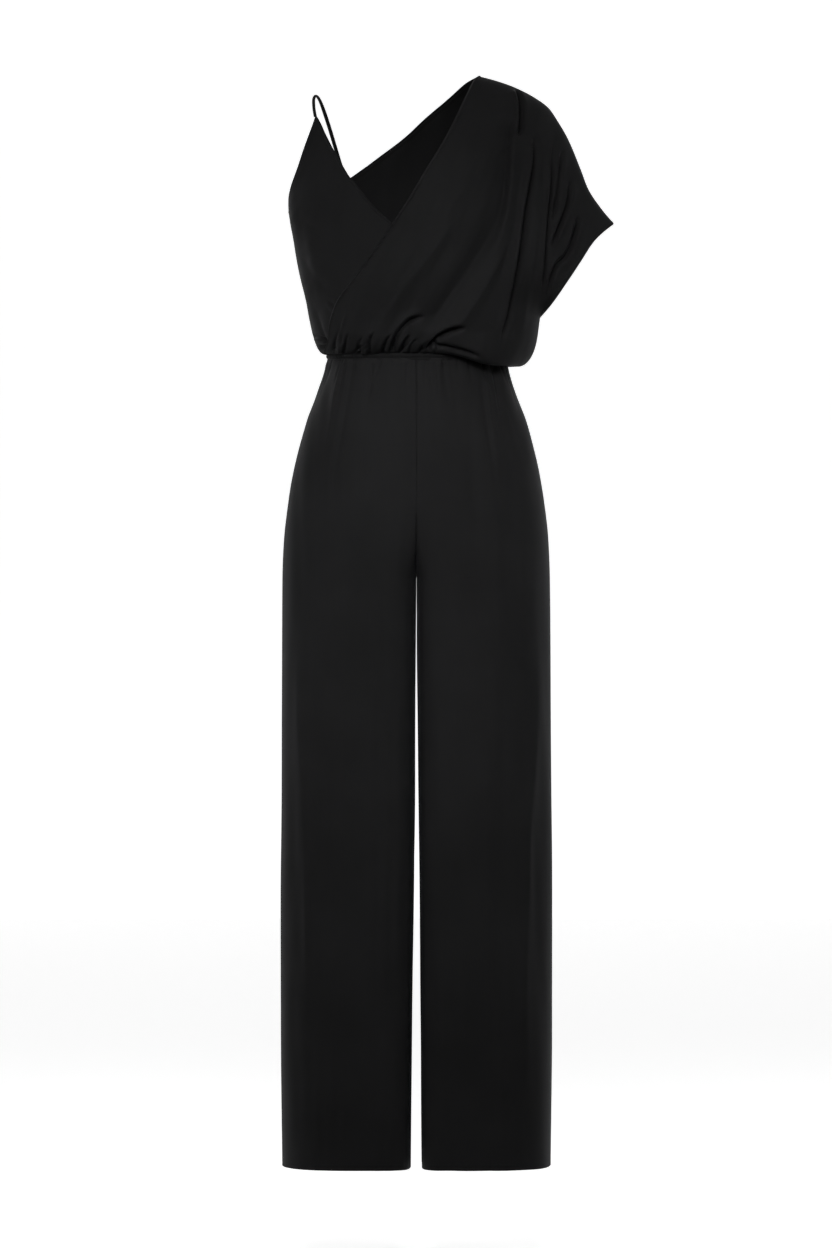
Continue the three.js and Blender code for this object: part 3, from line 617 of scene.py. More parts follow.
STRAP_FRONT_FOLDS = [
    fold([(-143, 1139), (-130, 1137), (-119, 1131)], 1.7, 3, left=1.4, ends=(0.15, 0.2)),
    fold([(-140, 1126), (-128, 1126), (-117, 1127)], 1.7, 3, left=1.4, ends=(0.15, 0.2)),
    fold([(-121, 1187), (-114, 1180), (-108, 1173)], 1.8, 2.4, left=1, ends=(0.3, 0.3)),
    fold([(-136, 1114), (-137, 1126), (-140, 1137)], 1.9, 2.6, right=1, ends=(0.05, 0.5)),
    fold([(-168, 1302), (-138, 1284), (-96, 1246)], 12, 2.2, left=1, ends=(0.2, 0.5)),
    fold([(-134, 1420), (-128, 1370), (-118, 1300)], 11, 1.8, ends=(0.2, 0.5)),
    fold([(-160, 1250), (-136, 1216), (-116, 1190)], 9, 1.8, ends=(0.2, 0.4)),
    fold([(-152, 1300), (-140, 1240), (-132, 1180)], 10, -1.6, ends=(0.3, 0.4)),
]
BACK_FOLDS = [
    fold(
        [(140, 1474), (143, 1420), (136, 1340), (124, 1250), (116, 1170)],
        2.8, 7, left=2.6, slow=(1, 1.8), lean=1.4,
    ),
    fold(
        [(166, 1452), (170, 1390), (166, 1310), (158, 1226), (150, 1160)],
        2.6, 6.5, right=2.4, slow=(1.6, 1),
    ),
    fold([(190, 1420), (190, 1350), (184, 1280), (172, 1196)], 2.4, 6, left=2, right=1, lean=1.2),
    fold([(206, 1392), (204, 1336), (192, 1268), (178, 1206)], 2.3, 5, left=1.4, right=1.6),
    fold([(226, 1312), (216, 1276), (202, 1240), (182, 1196)], 2.4, 4.4, left=1.4, right=1.8),
    fold([(112, 1430), (104, 1350), (80, 1250), (52, 1150)], 13, 6, ends=(0.35, 0.2)),
    fold([(84, 1330), (50, 1230), (10, 1140)], 12, -4, ends=(0.4, 0.2)),
    fold([(30, 1300), (-10, 1220), (-50, 1140)], 11, 4, ends=(0.4, 0.2)),
    fold([(-40, 1290), (-76, 1220), (-96, 1140)], 10, -2.8, ends=(0.4, 0.2)),
    fold([(-90, 1330), (-112, 1260), (-124, 1200), (-128, 1130)], 9, 3.2, left=1, ends=(0.3, 0.2)),
    fold([(-12, 1118), (-20, 1136), (-42, 1152)], 2.1, 5, left=2, ends=(0.06, 0.4)),
    fold([(58, 1116), (48, 1134), (26, 1150), (2, 1158)], 2.2, 5, left=2, ends=(0.06, 0.4)),
    fold([(-66, 1116), (-70, 1140), (-84, 1166)], 2, 4, right=1.6, ends=(0.06, 0.5)),
]
BODICE_GATHERS = gathers(31, 6, width=(1.3, 3.6), depth=(0.9, 4.2), height=(12, 52))
TROUSER_GATHERS = gathers(44, 9, width=(1.1, 2.2), depth=(0.4, 2.5), height=(12, 62), lean=0.16)
WIDE_TROUSER_GATHERS = gathers(15, 14, width=(4.5, 7), depth=(0.8, 1.8), height=(70, 150), lean=0.1)
CASING_RUCHES = gathers(96, 21, width=(0.8, 1.5), depth=(0.35, 0.95), height=(900, 1000), lean=0)
CASING_COLUMNS = 900
# Down its outer face, a band and a ridge: where and how wide as shares of its height, and how far out
CASING_FULLER = [(0.33, 0.35), (0.84, 0.15)]
CASING_BAND = 1.7
CASING_RIDGE = 0.45
CASING_IN = 0.2
# The casing's inner face, up from its lower edge: how far out, and up as a share of its height
CASING_INSIDE = [(-1.5, -0.48), (-2.1, -0.25), (-2.2, 0), (-2.1, 0.25), (-1.5, 0.48)]


def shares(count, *closer):
    """Shares from 0 to 1, set closer together near given places. Each is a place, how far it reaches, and
    how much closer."""
    t = np.linspace(0, 1, 2000)
    density = 1 + sum(more * np.exp(-(((t - place) / reach) ** 2)) for place, reach, more in closer)
    run = np.concatenate([[0], np.cumsum((density[1:] + density[:-1]) / 2)])
    return np.interp(np.linspace(0, run[-1], count), run, t)


def follow(line, share):
    step = np.hypot(*np.diff(line, axis=0).T)
    run = np.concatenate([[0], np.cumsum(step)])
    run /= run[-1]
    return np.stack([np.interp(share, run, line[:, 0]), np.interp(share, run, line[:, 1])], axis=-1)


def patch(top, bottom, left, right, u, v):
    """A grid of (x, z) places between four edges, from shares u across and v down."""
    t = follow(top, u)[None, :, :]
    b = follow(bottom, u)[None, :, :]
    le = follow(left, v)[:, None, :]
    ri = follow(right, v)[:, None, :]
    uu = u[None, :, None]
    vv = v[:, None, None]
    above = (1 - uu) * top[0] + uu * top[-1]
    below = (1 - uu) * bottom[0] + uu * bottom[-1]
    return (1 - vv) * t + vv * b + (1 - uu) * le + uu * ri - (1 - vv) * above - vv * below


def waist_angle(span, across, face):
    """Where a share across a panel comes to on the waist, in degrees from the centre front."""
    degrees = span[0] + (span[1] - span[0]) * across
    return degrees if face == "front" else 180 - degrees


def outward_at(points):
    level = np.zeros(points.shape[:-1])
    flat = np.stack([points[..., 0] / WAIST_X, points[..., 1] / WAIST_Y, level], axis=-1)
    return flat / np.maximum(np.linalg.norm(flat, axis=-1, keepdims=True), 1e-9)


def clear_of_seam(points, sign):
    points[..., 1] = sign * np.maximum(EDGE, sign * points[..., 1])
    return points


def roll_rows(face, start, across, span, inset):
    """The roll of the blouse without its gathers: rows from the panel's last row down, in and up to the
    casing. Gathers pinch it. Gives the rows and the overhang's share at each column."""
    degrees = waist_angle(span, across, face)
    share = np.zeros_like(degrees)
    if inset == 0:
        share = read(OVERHANG, "share", np.where(degrees > 180, degrees - 360, degrees), "angle")

    def mix(name):
        short, long = ROLL[name]
        return (short + (long - short) * share)[:, None]

    angle = np.radians(degrees)
    away = np.stack([np.sin(angle), -np.cos(angle), np.zeros_like(angle)], axis=-1)
    up = np.array([0, 0, 1.0])
    end = away * [WAIST_X, WAIST_Y, 0] + up * (CASING_TOP_Z - ROLL_END[0])
    end -= away * (ROLL_END[1] + inset)
    lip = FRONT_LIP * share * np.exp(-(((degrees - FRONT_LIP_AT) / FRONT_LIP_SPREAD) ** 2)) * (inset == 0)
    start_handle = start + outward_at(start) * (lip[:, None] - mix("lean")) - up * mix("drop")
    pinch = 1 - PINCH * np.minimum(3, pulled_in(BODICE_GATHERS, angle, 10 + 0 * angle)) * (1 - share)
    flatter = 1 - FLATTER_MIDDLE * np.cos(angle) ** 2 * (1 - share)
    bulge = mix("handle_out") * (pinch * flatter)[:, None] + lip[:, None]
    if inset > 0:
        bulge = bulge - ROLL_HIDDEN_IN * smooth(0, 0.06, across)[:, None]
    end_handle = end + away * bulge + up * mix("handle_up")
    rows = []
    for t in np.linspace(0, 1, ROLL_STEPS + 1)[1:]:
        s = 1 - t
        rows.append(s**3 * start + 3 * s * s * t * start_handle + 3 * s * t * t * end_handle + t**3 * end)
    return np.array(rows), share


def bodice_panel(face, x, z, folds, across, span, seed, inset=0, fall=None, hidden=None):
    """A bodice panel over a grid of places in the front view, with its roll, folds and gathers."""
    sign = -1 if face == "front" else 1
    plain = np.stack([x, sign * bodice_depth(face, x, z), z], axis=-1)
    if fall is not None:
        plain = plain - facing(plain, (0, sign, 0)) * fall[..., None]
    roll, share = roll_rows(face, plain[-1], across[-1], span, inset)
    rise = ROLL_HEIGHT * (1 - np.linspace(0, 1, ROLL_STEPS + 1)[1:])
    away = np.vstack([ROLL_HEIGHT + z - BLOUSE_Z, np.repeat(rise[:, None], z.shape[1], axis=1)])
    across = np.vstack([across, np.repeat(across[-1:], ROLL_STEPS, axis=0)])
    grid = np.vstack([plain, roll])
    n = facing(grid, (0, sign, 0))
    outward = outward_at(grid)
    angle = np.radians(waist_angle(span, across, face))
    turned = smooth(0.05, 0.45, np.sum(n * outward, axis=-1))
    turned[: len(z)] = 1
    off_seam = smooth(2, 26, np.abs(grid[..., 1]))
    out, slide = folds_at(folds, grid[..., 0], grid[..., 2])
    for more_seed, *wave in BODICE_WAVES:
        out += waves(grid[..., 0], grid[..., 2], seed + more_seed, *wave)
    weight = (turned * off_seam)[..., None]
    long = np.repeat(share[None], len(grid), axis=0)
    near_casing = smooth(ROLL_HEIGHT + 45, 0, away)
    lift = (PUFF * near_casing - pulled_in(BODICE_GATHERS, angle, away)) * (1 - 0.85 * long)
    if hidden is not None:
        lift = lift * (1 - hidden)
    at_seam = smooth(0, 14, np.abs(grid[..., 1]))
    lift = lift * (0.35 + 0.65 * at_seam) * smooth(0, ENDS_WITHIN, away)
    grid = grid + n * out[..., None] * weight + outward * lift[..., None]
    grid[..., 0] += slide[..., 0] * weight[..., 0]
    grid[..., 2] += slide[..., 1] * weight[..., 0]
    return clear_of_seam(grid, sign)


# How closely the bodice's rows and columns are set
BODICE_DOWN = shares(142, (0, 0.02, 12), (1, 0.16, 0.9))
WRAP_ACROSS = shares(288, (0, 0.012, 1.6), (1, 0.03, 2.5), (0.7, 0.3, 0.25))
BACK_ACROSS = shares(182, (0, 0.03, 3), (1, 0.03, 3), (0.75, 0.2, 0.6))


def front_wrap():
    """The wrap: a patch from the shoulder line down to the blouse, then its roll."""
    bottom = np.array([(BLOUSE_LEFT["front"], BLOUSE_Z), (BLOUSE_RIGHT, BLOUSE_Z)])
    neckline = down_curve(WRAP_NECKLINE, "x", SHOULDER_Z, BLOUSE_Z, 120)
    grid = patch(SLEEVE_TOP_LINE, bottom, neckline, SLEEVE_EDGE_LINE, WRAP_ACROSS, BODICE_DOWN)
    x, z = grid[..., 0], grid[..., 1]
    left = read(WRAP_NECKLINE, "x", z)
    across = np.clip((x - left) / np.maximum(read(SIDES, "sleeve_side", z) - left, 1), 0, 1)
    return bodice_panel("front", x, z, WRAP_FOLDS + WRAP_WAIST_FOLDS, across, WRAP_WAIST, 3)


def front_strap_side():
    """The strap side's front, which goes under the wrap."""
    z_rows = STRAP_PEAK_Z + (BLOUSE_Z - STRAP_PEAK_Z) * shares(126, (1, 0.16, 0.9))
    u = shares(104, (0, 0.05, 3), (1, 0.02, 1.6))
    armhole = read(STRAP_ARMHOLE, "x", z_rows)
    left = np.where(z_rows >= BACK_CORNER_Z, armhole, read(SIDES, "strap_side", z_rows))
    right = read(STRAP_NECKLINE, "x", z_rows)
    x = left[:, None] + (right - left)[:, None] * u[None, :]
    z = np.repeat(z_rows[:, None], len(u), axis=1)
    across = np.clip((x - left[:, None]) / np.maximum(right - left, 1)[:, None], 0, 1)
    under = x - read(WRAP_NECKLINE, "x", z)
    fall = LAYER * smooth(1, 14, x - read(SIDES, "strap_side", z)) + UNDER_WRAP_FALL * smooth(-4, 55, under)
    hidden = smooth(-6, 22, np.vstack([under, np.repeat(under[-1:], ROLL_STEPS, axis=0)]))
    return bodice_panel("front", x, z, STRAP_FRONT_FOLDS, across, STRAP_FRONT_WAIST, 8, LAYER, fall, hidden)


def back():
    """The back, a patch from the shoulder line down to the blouse, then its roll."""
    corner = down_curve(BACK_TOP_EDGE, "x", SHOULDER_Z, BACK_CORNER_Z, 90)
    left = np.vstack([corner, down_curve(SIDES, "strap_side", BACK_CORNER_Z - 1, BLOUSE_Z, 40)])
    bottom = np.array([(BLOUSE_LEFT["back"], BLOUSE_Z), (BLOUSE_RIGHT, BLOUSE_Z)])
    grid = patch(SLEEVE_TOP_LINE, bottom, left, SLEEVE_EDGE_LINE, BACK_ACROSS, BODICE_DOWN)
    x, z = grid[..., 0], grid[..., 1]
    low = read(SIDES, "strap_side", z)
    across = np.clip((x - low) / np.maximum(read(SIDES, "sleeve_side", z) - low, 1), 0, 1)
    return bodice_panel("back", x, z, BACK_FOLDS, across, BACK_WAIST, 5)


# Folds of the trousers in the front and back views, for x on the sleeve's side and on the strap's
TROUSER_FOLDS = {
    ("front", -1): [
        fold(
            [(-86, 1102), (-90, 1075), (-101, 1010), (-113, 942), (-118, 880)],
            5, 1.8, left=1.4, ends=(0.05, 0.6),
        ),
        fold([(-96, 1102), (-103, 1068), (-116, 1022)], 2.4, 1.8, left=1.2, right=0.8, ends=(0.05, 0.5)),
        fold([(-101, 1103), (-110, 1060), (-120, 1008), (-134, 940)], 7, -2.2, ends=(0.1, 0.5)),
        fold([(-60, 1102), (-62, 1080), (-67, 1046)], 1.9, 1.6, right=0.8, ends=(0.05, 0.6)),
        fold([(-12, 1103), (-13, 1084), (-15, 1062)], 1.6, 1.8, left=0.8, ends=(0.05, 0.5)),
        fold([(-7, 1103), (-7, 1082), (-8, 1068)], 1.6, 1.4, left=0.6, ends=(0.05, 0.5)),
        fold([(-166, 760), (-160, 640), (-151, 452), (-149, 300), (-150, 120)], 10, -4.5, ends=(0.3, 0.4)),
        fold([(-128, 700), (-124, 480), (-120, 240)], 16, 1.8, ends=(0.3, 0.4)),
        fold([(-70, 640), (-66, 400), (-72, 160)], 14, -1.4, ends=(0.3, 0.4)),
    ],
    ("front", 1): [
        fold([(94, 1084), (99, 1050), (113, 942), (117, 890)], 5, -1.9, ends=(0.1, 0.5)),
        fold([(88, 1088), (94, 1030), (104, 960), (110, 910)], 5, 1.8, ends=(0.1, 0.6)),
        fold([(104, 1100), (110, 1060), (120, 1010), (134, 940)], 5.5, 1.8, right=1.2, ends=(0.05, 0.6)),
        fold([(106, 1100), (114, 1040), (116, 1010)], 2.2, 1.4, left=0.8, ends=(0.05, 0.6)),
        fold([(12, 1103), (12, 1086), (13, 1066)], 1.6, 1.8, right=0.8, ends=(0.05, 0.5)),
        fold([(24, 1103), (25, 1082), (28, 1052)], 1.9, 1.8, right=0.8, ends=(0.05, 0.6)),
        fold([(38, 1102), (40, 1080), (44, 1040)], 3, 1.2, right=0.6, ends=(0.05, 0.6)),
        fold([(167, 740), (162, 600), (152, 452), (147, 226), (150, 80)], 10, -4.5, ends=(0.3, 0.4)),
        fold([(122, 720), (118, 500), (122, 220)], 16, 1.8, ends=(0.3, 0.4)),
        fold([(64, 600), (70, 380), (66, 140)], 14, -1.4, ends=(0.3, 0.4)),
    ],
    ("back", -1): [
        fold([(-60, 1100), (-72, 1040), (-82, 980)], 5, 1.8, left=1, ends=(0.05, 0.6)),
        fold([(-104, 1100), (-112, 1040), (-126, 960)], 5, 1.8, right=1, ends=(0.05, 0.6)),
        fold([(-4, 800), (-50, 775), (-110, 782)], 11, 3.2, left=1.4, ends=(0.1, 0.6)),
        fold([(-6, 776), (-40, 742), (-80, 730)], 9, 2.4, left=1.2, ends=(0.1, 0.6)),
        fold([(-90, 780), (-96, 600), (-92, 300)], 20, 3.6, right=1.4, ends=(0.25, 0.5)),
        fold([(-140, 820), (-142, 600), (-136, 330)], 14, 2.8, left=1.2, ends=(0.3, 0.5)),
    ],
    ("back", 1): [
        fold([(56, 1100), (70, 1040), (78, 975)], 5, 1.8, right=1, ends=(0.05, 0.6)),
        fold([(100, 1100), (110, 1036), (122, 950)], 5, 1.8, left=1, ends=(0.05, 0.6)),
        fold([(4, 800), (54, 772), (112, 785)], 11, 3.2, right=1.4, ends=(0.1, 0.6)),
        fold([(6, 772), (44, 736), (88, 728)], 9, 2.4, right=1.2, ends=(0.1, 0.6)),
        fold([(88, 780), (92, 610), (96, 280)], 20, 3.6, left=1.4, ends=(0.25, 0.5)),
        fold([(142, 830), (138, 590), (140, 310)], 14, 2.8, right=1.2, ends=(0.3, 0.5)),
    ],
}


def trouser(side, face):
    """One of the four trouser panels, from the casing down to the hem, from its centre to its side seam."""
    sign = -1 if face == "front" else 1
    waist = CASING_BOTTOM_Z + INTO_CASING
    hip = waist + (CROTCH_Z + CROTCH_RISE[face] - waist) * shares(HIP_ROWS, (0, 0.04, 5))
    rise_rows = CROTCH_Z + CROTCH_RISE[face] * np.linspace(1, 0, RISE_ROWS)[1:] ** RISE_ROWS_CLOSER
    leg_top = CROTCH_Z - 5
    leg = leg_top + (HEM_Z - leg_top) * shares(LEG_ROWS, (1, 0.02, 4))
    z_rows = np.concatenate([hip, rise_rows, leg])
    z = np.repeat(z_rows[:, None], TROUSER_COLUMNS, axis=1)
    u = np.repeat(np.linspace(0, 1, TROUSER_COLUMNS)[None, :], len(z_rows), axis=0)
    inwards = 1 - smooth(*SECTION_CHANGES, z_rows)
    split = np.maximum(1e-6, 0.5 * inwards)[:, None]
    deep = read(TROUSERS, face, z_rows)[:, None]
    outer = read(TROUSERS, "outer", z_rows)[:, None]
    inner = np.maximum(EDGE, read(TROUSERS, "inner", z_rows) - INNER_EASE)[:, None]
    rise = np.clip((z - CROTCH_Z) / CROTCH_RISE[face], 0, 1)
    from_seam = u / split
    soft = FORK_SOFTNESS * np.minimum(1, from_seam)
    full = (1 - (1 - rise) ** RISE_POWER) ** (1 / RISE_POWER)
    seam_share = (np.sqrt(full**2 + soft**2) - soft) / (np.sqrt(1 + soft**2) - soft)
    middle = (outer + inner) / 2 * inwards[:, None]
    in_arc = u < split
    turn = math.pi / 2 * np.where(in_arc, 1 - from_seam, (u - split) / (1 - split))
    power = 2 / np.where(in_arc, INNER_SECTION_POWER, SECTION_POWER)
    across = np.sin(turn) ** power
    deep_share = np.maximum(0, np.cos(turn)) ** power
    x = np.where(in_arc, middle - (middle - inner) * across, middle + (outer - middle) * across)
    at_rise = deep_share + (1 - deep_share) * seam_share ** (1 + 2 * from_seam)
    y = deep * np.where(in_arc, at_rise, deep_share)
    points = np.stack([side * x, sign * y, z], axis=-1)
    n = normals_of(points)
    on_front = (HIP_ROWS, TROUSER_COLUMNS // 2)
    if n[on_front][1] * sign < 0:
        n = -n
    outward = outward_at(points)
    angle = np.arctan2(points[..., 0] / WAIST_X, -points[..., 1] / WAIST_Y)
    below = np.maximum(0, CASING_BOTTOM_Z - z)
    near_casing = smooth(70, 0, below)
    lift = TROUSER_PUFF * near_casing * smooth(-2, 6, below) - pulled_in(TROUSER_GATHERS, angle, below)
    lift -= pulled_in(WIDE_TROUSER_GATHERS, angle, below)
    lift = np.maximum(lift, -HELD_AT_CASING - below)
    off_seams = smooth(0, 0.05, u) * smooth(1, 0.96, u)
    out = folds_at(TROUSER_FOLDS[face, side], points[..., 0], z)[0]
    for seed, *wave in TROUSER_WAVES:
        out += waves(points[..., 0], z, seed + side + 3 * sign, *wave)
    points += outward * (lift * (0.3 + 0.7 * off_seams))[..., None] + n * (out * off_seams)[..., None]
    centre, at_side = SEAM_GROOVE_SHARES
    groove = SEAM_GROOVE * (np.exp(-((u / centre) ** 2)) + np.exp(-(((1 - u) / at_side) ** 2)))
    points -= n * groove[..., None]
    return clear_of_seams(points, side, sign)


def clear_of_seams(points, side, sign):
    points[..., 0] = side * np.maximum(EDGE, side * points[..., 0])
    return clear_of_seam(points, sign)


def casing():
    """The elastic casing: a ruched band closed round the waist, with a fuller part and a ridge below."""
    angle = np.linspace(0, 2 * math.pi, CASING_COLUMNS, endpoint=False)
    tall = CASING_TOP_Z - CASING_BOTTOM_Z
    middle = (CASING_TOP_Z + CASING_BOTTOM_Z) / 2
    ruche = 0.35 - pulled_in(CASING_RUCHES, angle, 0 * angle)
    rows = []
    for q in np.linspace(0, 1, 21):
        band, ridge = (math.sqrt(max(0, 1 - ((q - at) / half) ** 2)) for at, half in CASING_FULLER)
        reach = CASING_BAND * band + CASING_RIDGE * ridge - CASING_IN
        soft = ruche * (0.25 + 0.75 * band)
        rows.append((reach + soft, middle + (0.5 - q) * tall))
    for reach, up in CASING_INSIDE:
        rows.append((reach + 0 * ruche, middle + up * tall))
    made = []
    for reach, z in rows:
        x = (WAIST_X + reach) * np.sin(angle)
        y = -(WAIST_Y + reach) * np.cos(angle)
        made.append(np.stack([x, y, np.full(CASING_COLUMNS, z)], axis=-1))
    return closed_band("casing_cloth", np.array(made))


def closed_band(name, rows):
    """A solid from rows of points that go round it, closed both ways."""
    index = np.arange(rows.size // 3).reshape(rows.shape[:2])
    after = np.roll(index, -1, axis=1)
    below = np.roll(index, -1, axis=0)
    faces = np.stack([index, below, np.roll(below, -1, axis=1), after], axis=-1).reshape(-1, 4)
    return mesh_piece(name, rows.reshape(-1, 3), faces)


def strap():
    """The thin rouleau strap, from the strap side's point over the shoulder to the back's edge."""
    route = spline(
        [
            (-138.3, -28.6, 1438.6),
            (-140.2, -24.5, 1451),
            (-140.6, -11.5, 1463.5),
            (-137.6, 1, 1468.8),
            (-132.6, 15, 1463),
            (-126, 31, 1446),
            (-117.6, 50, 1420),
            (-108, 70, 1388),
            (-98.3, 83, 1356.6),
        ],
        240,
    )
    along = np.gradient(route, axis=0)
    along /= np.linalg.norm(along, axis=1, keepdims=True)
    side = np.cross(along, [1, 0, 0])
    side /= np.linalg.norm(side, axis=1, keepdims=True)
    other = np.cross(along, side)
    turn = np.linspace(0, 2 * math.pi, 20, endpoint=False)
    thick = STRAP_THICK / 2 * np.cos(turn)[None, :, None]
    down_back = smooth(0.45, 0.65, np.linspace(0, 1, len(route)))[:, None, None]
    wide = (STRAP_WIDE / 2 + STRAP_WIDER / 2 * down_back) * np.sin(turn)[None, :, None]
    points = route[:, None, :] + thick * side[:, None, :] + wide * other[:, None, :]
    index = np.arange(points.size // 3).reshape(points.shape[:2])
    after = np.roll(index, -1, axis=1)
    quads = np.stack([index[:-1], after[:-1], after[1:], index[1:]], axis=-1).reshape(-1, 4)
    faces = [*quads.tolist(), index[0][::-1].tolist(), index[-1].tolist()]
    return mesh_piece("strap_rouleau", points.reshape(-1, 3), faces)


def beside(lines, reach=SEAM_ALLOWANCE, count=6):
    """For each line of points that starts at a seam, points at even distances from the seam."""
    out = []
    for line in lines:
        run = np.concatenate([[0], np.cumsum(np.linalg.norm(np.diff(line, axis=0), axis=1))])
        at = np.linspace(0, reach, count)
        out.append(np.stack([np.interp(at, run, line[:, k]) for k in range(3)], axis=-1))
    return np.array(out)


def at_heights(band, z):
    """A band's lines moved along the seam to given heights. The heights go down."""
    out = np.empty((len(z), band.shape[1], 3))
    for c in range(band.shape[1]):
        for k in range(3):
            out[:, c, k] = np.interp(-z, -band[:, 0, 2], band[:, c, k])
    return out


def seam_allowance(name, one, other, outward):
    """The turnings of a seam, pressed open: a ribbon over the inner faces of the two panels beside it."""
    grid = np.concatenate([one[:, ::-1], other[:, 1:]], axis=1)
    grid = grid - facing(grid, outward) * TURNING_SUNK
    return shell(name, grid, outward, thickness=TURNING)[0]


def columns_at(grid, u, at):
    """A grid's columns at given shares across, as lines that start at its top row."""
    return np.array([[[np.interp(s, u, row[:, k]) for k in range(3)] for row in grid] for s in at])


def crepe(name, tone):
    """Matt black crepe: a pebbled grain, slight unevenness of colour, and a soft sheen at its edges."""
    material = bpy.data.materials.new(name)
    material.use_nodes = True
    tree = material.node_tree
    tree.nodes.clear()

    def node(kind, **values):
        made = tree.nodes.new(kind)
        for key, value in values.items():
            made.inputs[key].default_value = value
        return made

    output = tree.nodes.new("ShaderNodeOutputMaterial")
    shader = node("ShaderNodeBsdfPrincipled", Roughness=0.78)
    shader.inputs["Specular IOR Level"].default_value = 0.09
    shader.inputs["Sheen Weight"].default_value = 0.018
    shader.inputs["Sheen Roughness"].default_value = 0.45
    shader.inputs["Sheen Tint"].default_value = (0.8, 0.82, 0.9, 1)
    place = tree.nodes.new("ShaderNodeTexCoord")
    patches = node("ShaderNodeTexNoise", Scale=9.0, Detail=3.0, Roughness=0.5)
    grain = node("ShaderNodeTexNoise", Scale=1500.0, Detail=2.0, Roughness=0.6)
    pebble = node("ShaderNodeTexVoronoi", Scale=1100.0)
    ramp = tree.nodes.new("ShaderNodeValToRGB")
    for element, position, share in zip(ramp.color_ramp.elements, (0.3, 0.7), (0.85, 1.15)):
        element.position = position
        element.color = (*[c * share for c in tone], 1)
    add = tree.nodes.new("ShaderNodeMath")
    add.operation = "ADD"
    bump_node = node("ShaderNodeBump", Strength=0.35, Distance=0.00025)
    rough = node("ShaderNodeMapRange")
    rough.inputs["To Min"].default_value = 0.7
    rough.inputs["To Max"].default_value = 0.86
    link = tree.links.new
    for texture in (patches, grain, pebble):
        link(place.outputs["Object"], texture.inputs["Vector"])
    link(patches.outputs["Fac"], ramp.inputs["Fac"])
    link(ramp.outputs["Color"], shader.inputs["Base Color"])
    link(grain.outputs["Fac"], add.inputs[0])
    link(pebble.outputs["Distance"], add.inputs[1])
    link(add.outputs["Value"], bump_node.inputs["Height"])
    link(grain.outputs["Fac"], rough.inputs["Value"])
    link(rough.outputs["Result"], shader.inputs["Roughness"])
    link(bump_node.outputs["Normal"], shader.inputs["Normal"])
    link(shader.outputs["BSDF"], output.inputs["Surface"])
    return material


cloth = crepe("black_crepe", (0.008, 0.008, 0.0083))
# The casing and the strap are the same crepe made a little darker: painted shade, not a different cloth.
casing_cloth = crepe("black_crepe_casing_painted_shade", (0.0075, 0.0075, 0.0078))
strap_crepe_painted_shade = crepe("black_crepe_strap_painted_shade", (0.0075, 0.0075, 0.0078))


def dress(piece, node, material=cloth):
    piece.data.materials.append(material)
    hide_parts(node)
    return piece


def keep_y(sign):
    return lambda points: clear_of_seam(points.copy(), sign)


def keep_xy(side, sign):
    return lambda points: clear_of_seams(points.copy(), side, sign)


FRONT = (0, -1, 0)
BACK = (0, 1, 0)
# Each turned edge: which one, the width of its turning, how much thicker it is, and how far its roll
# stands up
NECK_TURNING = ("left", 7, 0.5, 1.2)
UNDER_NECK_TURNING = ("right", 7, 0.5, 1.2)
BACK_NECK_TURNING = ("left", 7, 0.5, 0.4)
SLEEVE_TURNING = ("right", 9, 0.5, 0.4)
LEG_TURNING = ("bottom", 30, 0.5, 0)

wrap_piece, wrap_inner = shell(
    "wrap_front_cloth", front_wrap(), FRONT, hems=[NECK_TURNING, SLEEVE_TURNING], keep=keep_y(-1)
)
dress(wrap_piece, "wrap_front_with_sleeve")
under_piece, under_inner = shell(
    "strap_side_front_cloth", front_strap_side(), FRONT, hems=[UNDER_NECK_TURNING], keep=keep_y(-1)
)
dress(under_piece, "strap_side_front")
back_piece, back_inner = shell(
    "back_cloth", back(), BACK, hems=[BACK_NECK_TURNING, SLEEVE_TURNING], keep=keep_y(1)
)
dress(back_piece, "back_with_sleeve")
# Painted shade: the casing and the strap take the darker copies of the crepe.
casing_piece = dress(casing(), "waist_casing", casing_cloth)
dress(strap(), "shoulder_strap", strap_crepe_painted_shade)

SIDE_NAMES = {-1: "strap_side", 1: "sleeve_side"}
leg_inner = {}
for side, place in SIDE_NAMES.items():
    for face, sign in (("front", -1), ("back", 1)):
        name = f"trouser_{face}_{place}"
        piece, inner = shell(
            f"{name}_cloth", trouser(side, face), (0, sign, 0), hems=[LEG_TURNING], keep=keep_xy(side, sign)
        )
        dress(piece, name)
        leg_inner[face, side] = inner

# The turnings of the seams, each with the panel that it is listed with
ABOVE_CROTCH = HIP_ROWS + RISE_ROWS - 3
turnings = {}


def add_turnings(key, name, one, other, outward, node):
    ribbon = dress(seam_allowance(f"{name}_turnings", one, other, outward), node)
    turnings.setdefault(key, []).append(ribbon)


for face, outward in (("front", FRONT), ("back", BACK)):
    one, other = (beside(leg_inner[face, side][:ABOVE_CROTCH]) for side in (-1, 1))
    add_turnings((face, -1), f"centre_{face}_seam", one, other, outward, f"trouser_{face}_strap_side")
for side, place in SIDE_NAMES.items():
    front_leg = leg_inner["front", side]
    back_leg = leg_inner["back", side]
    one, other = (beside(leg[ABOVE_CROTCH + 3 :]) for leg in (front_leg, back_leg))
    node = f"trouser_front_{place}"
    add_turnings(("front", side), f"inside_leg_seam_{place}", one, other, (-side, 0, 0), node)
    one = beside(front_leg[2:-1, ::-1])
    other = at_heights(beside(back_leg[:, ::-1]), one[:, 0, 2])
    add_turnings(("back", side), f"side_seam_{place}", one, other, (side, 0, 0), f"trouser_back_{place}")

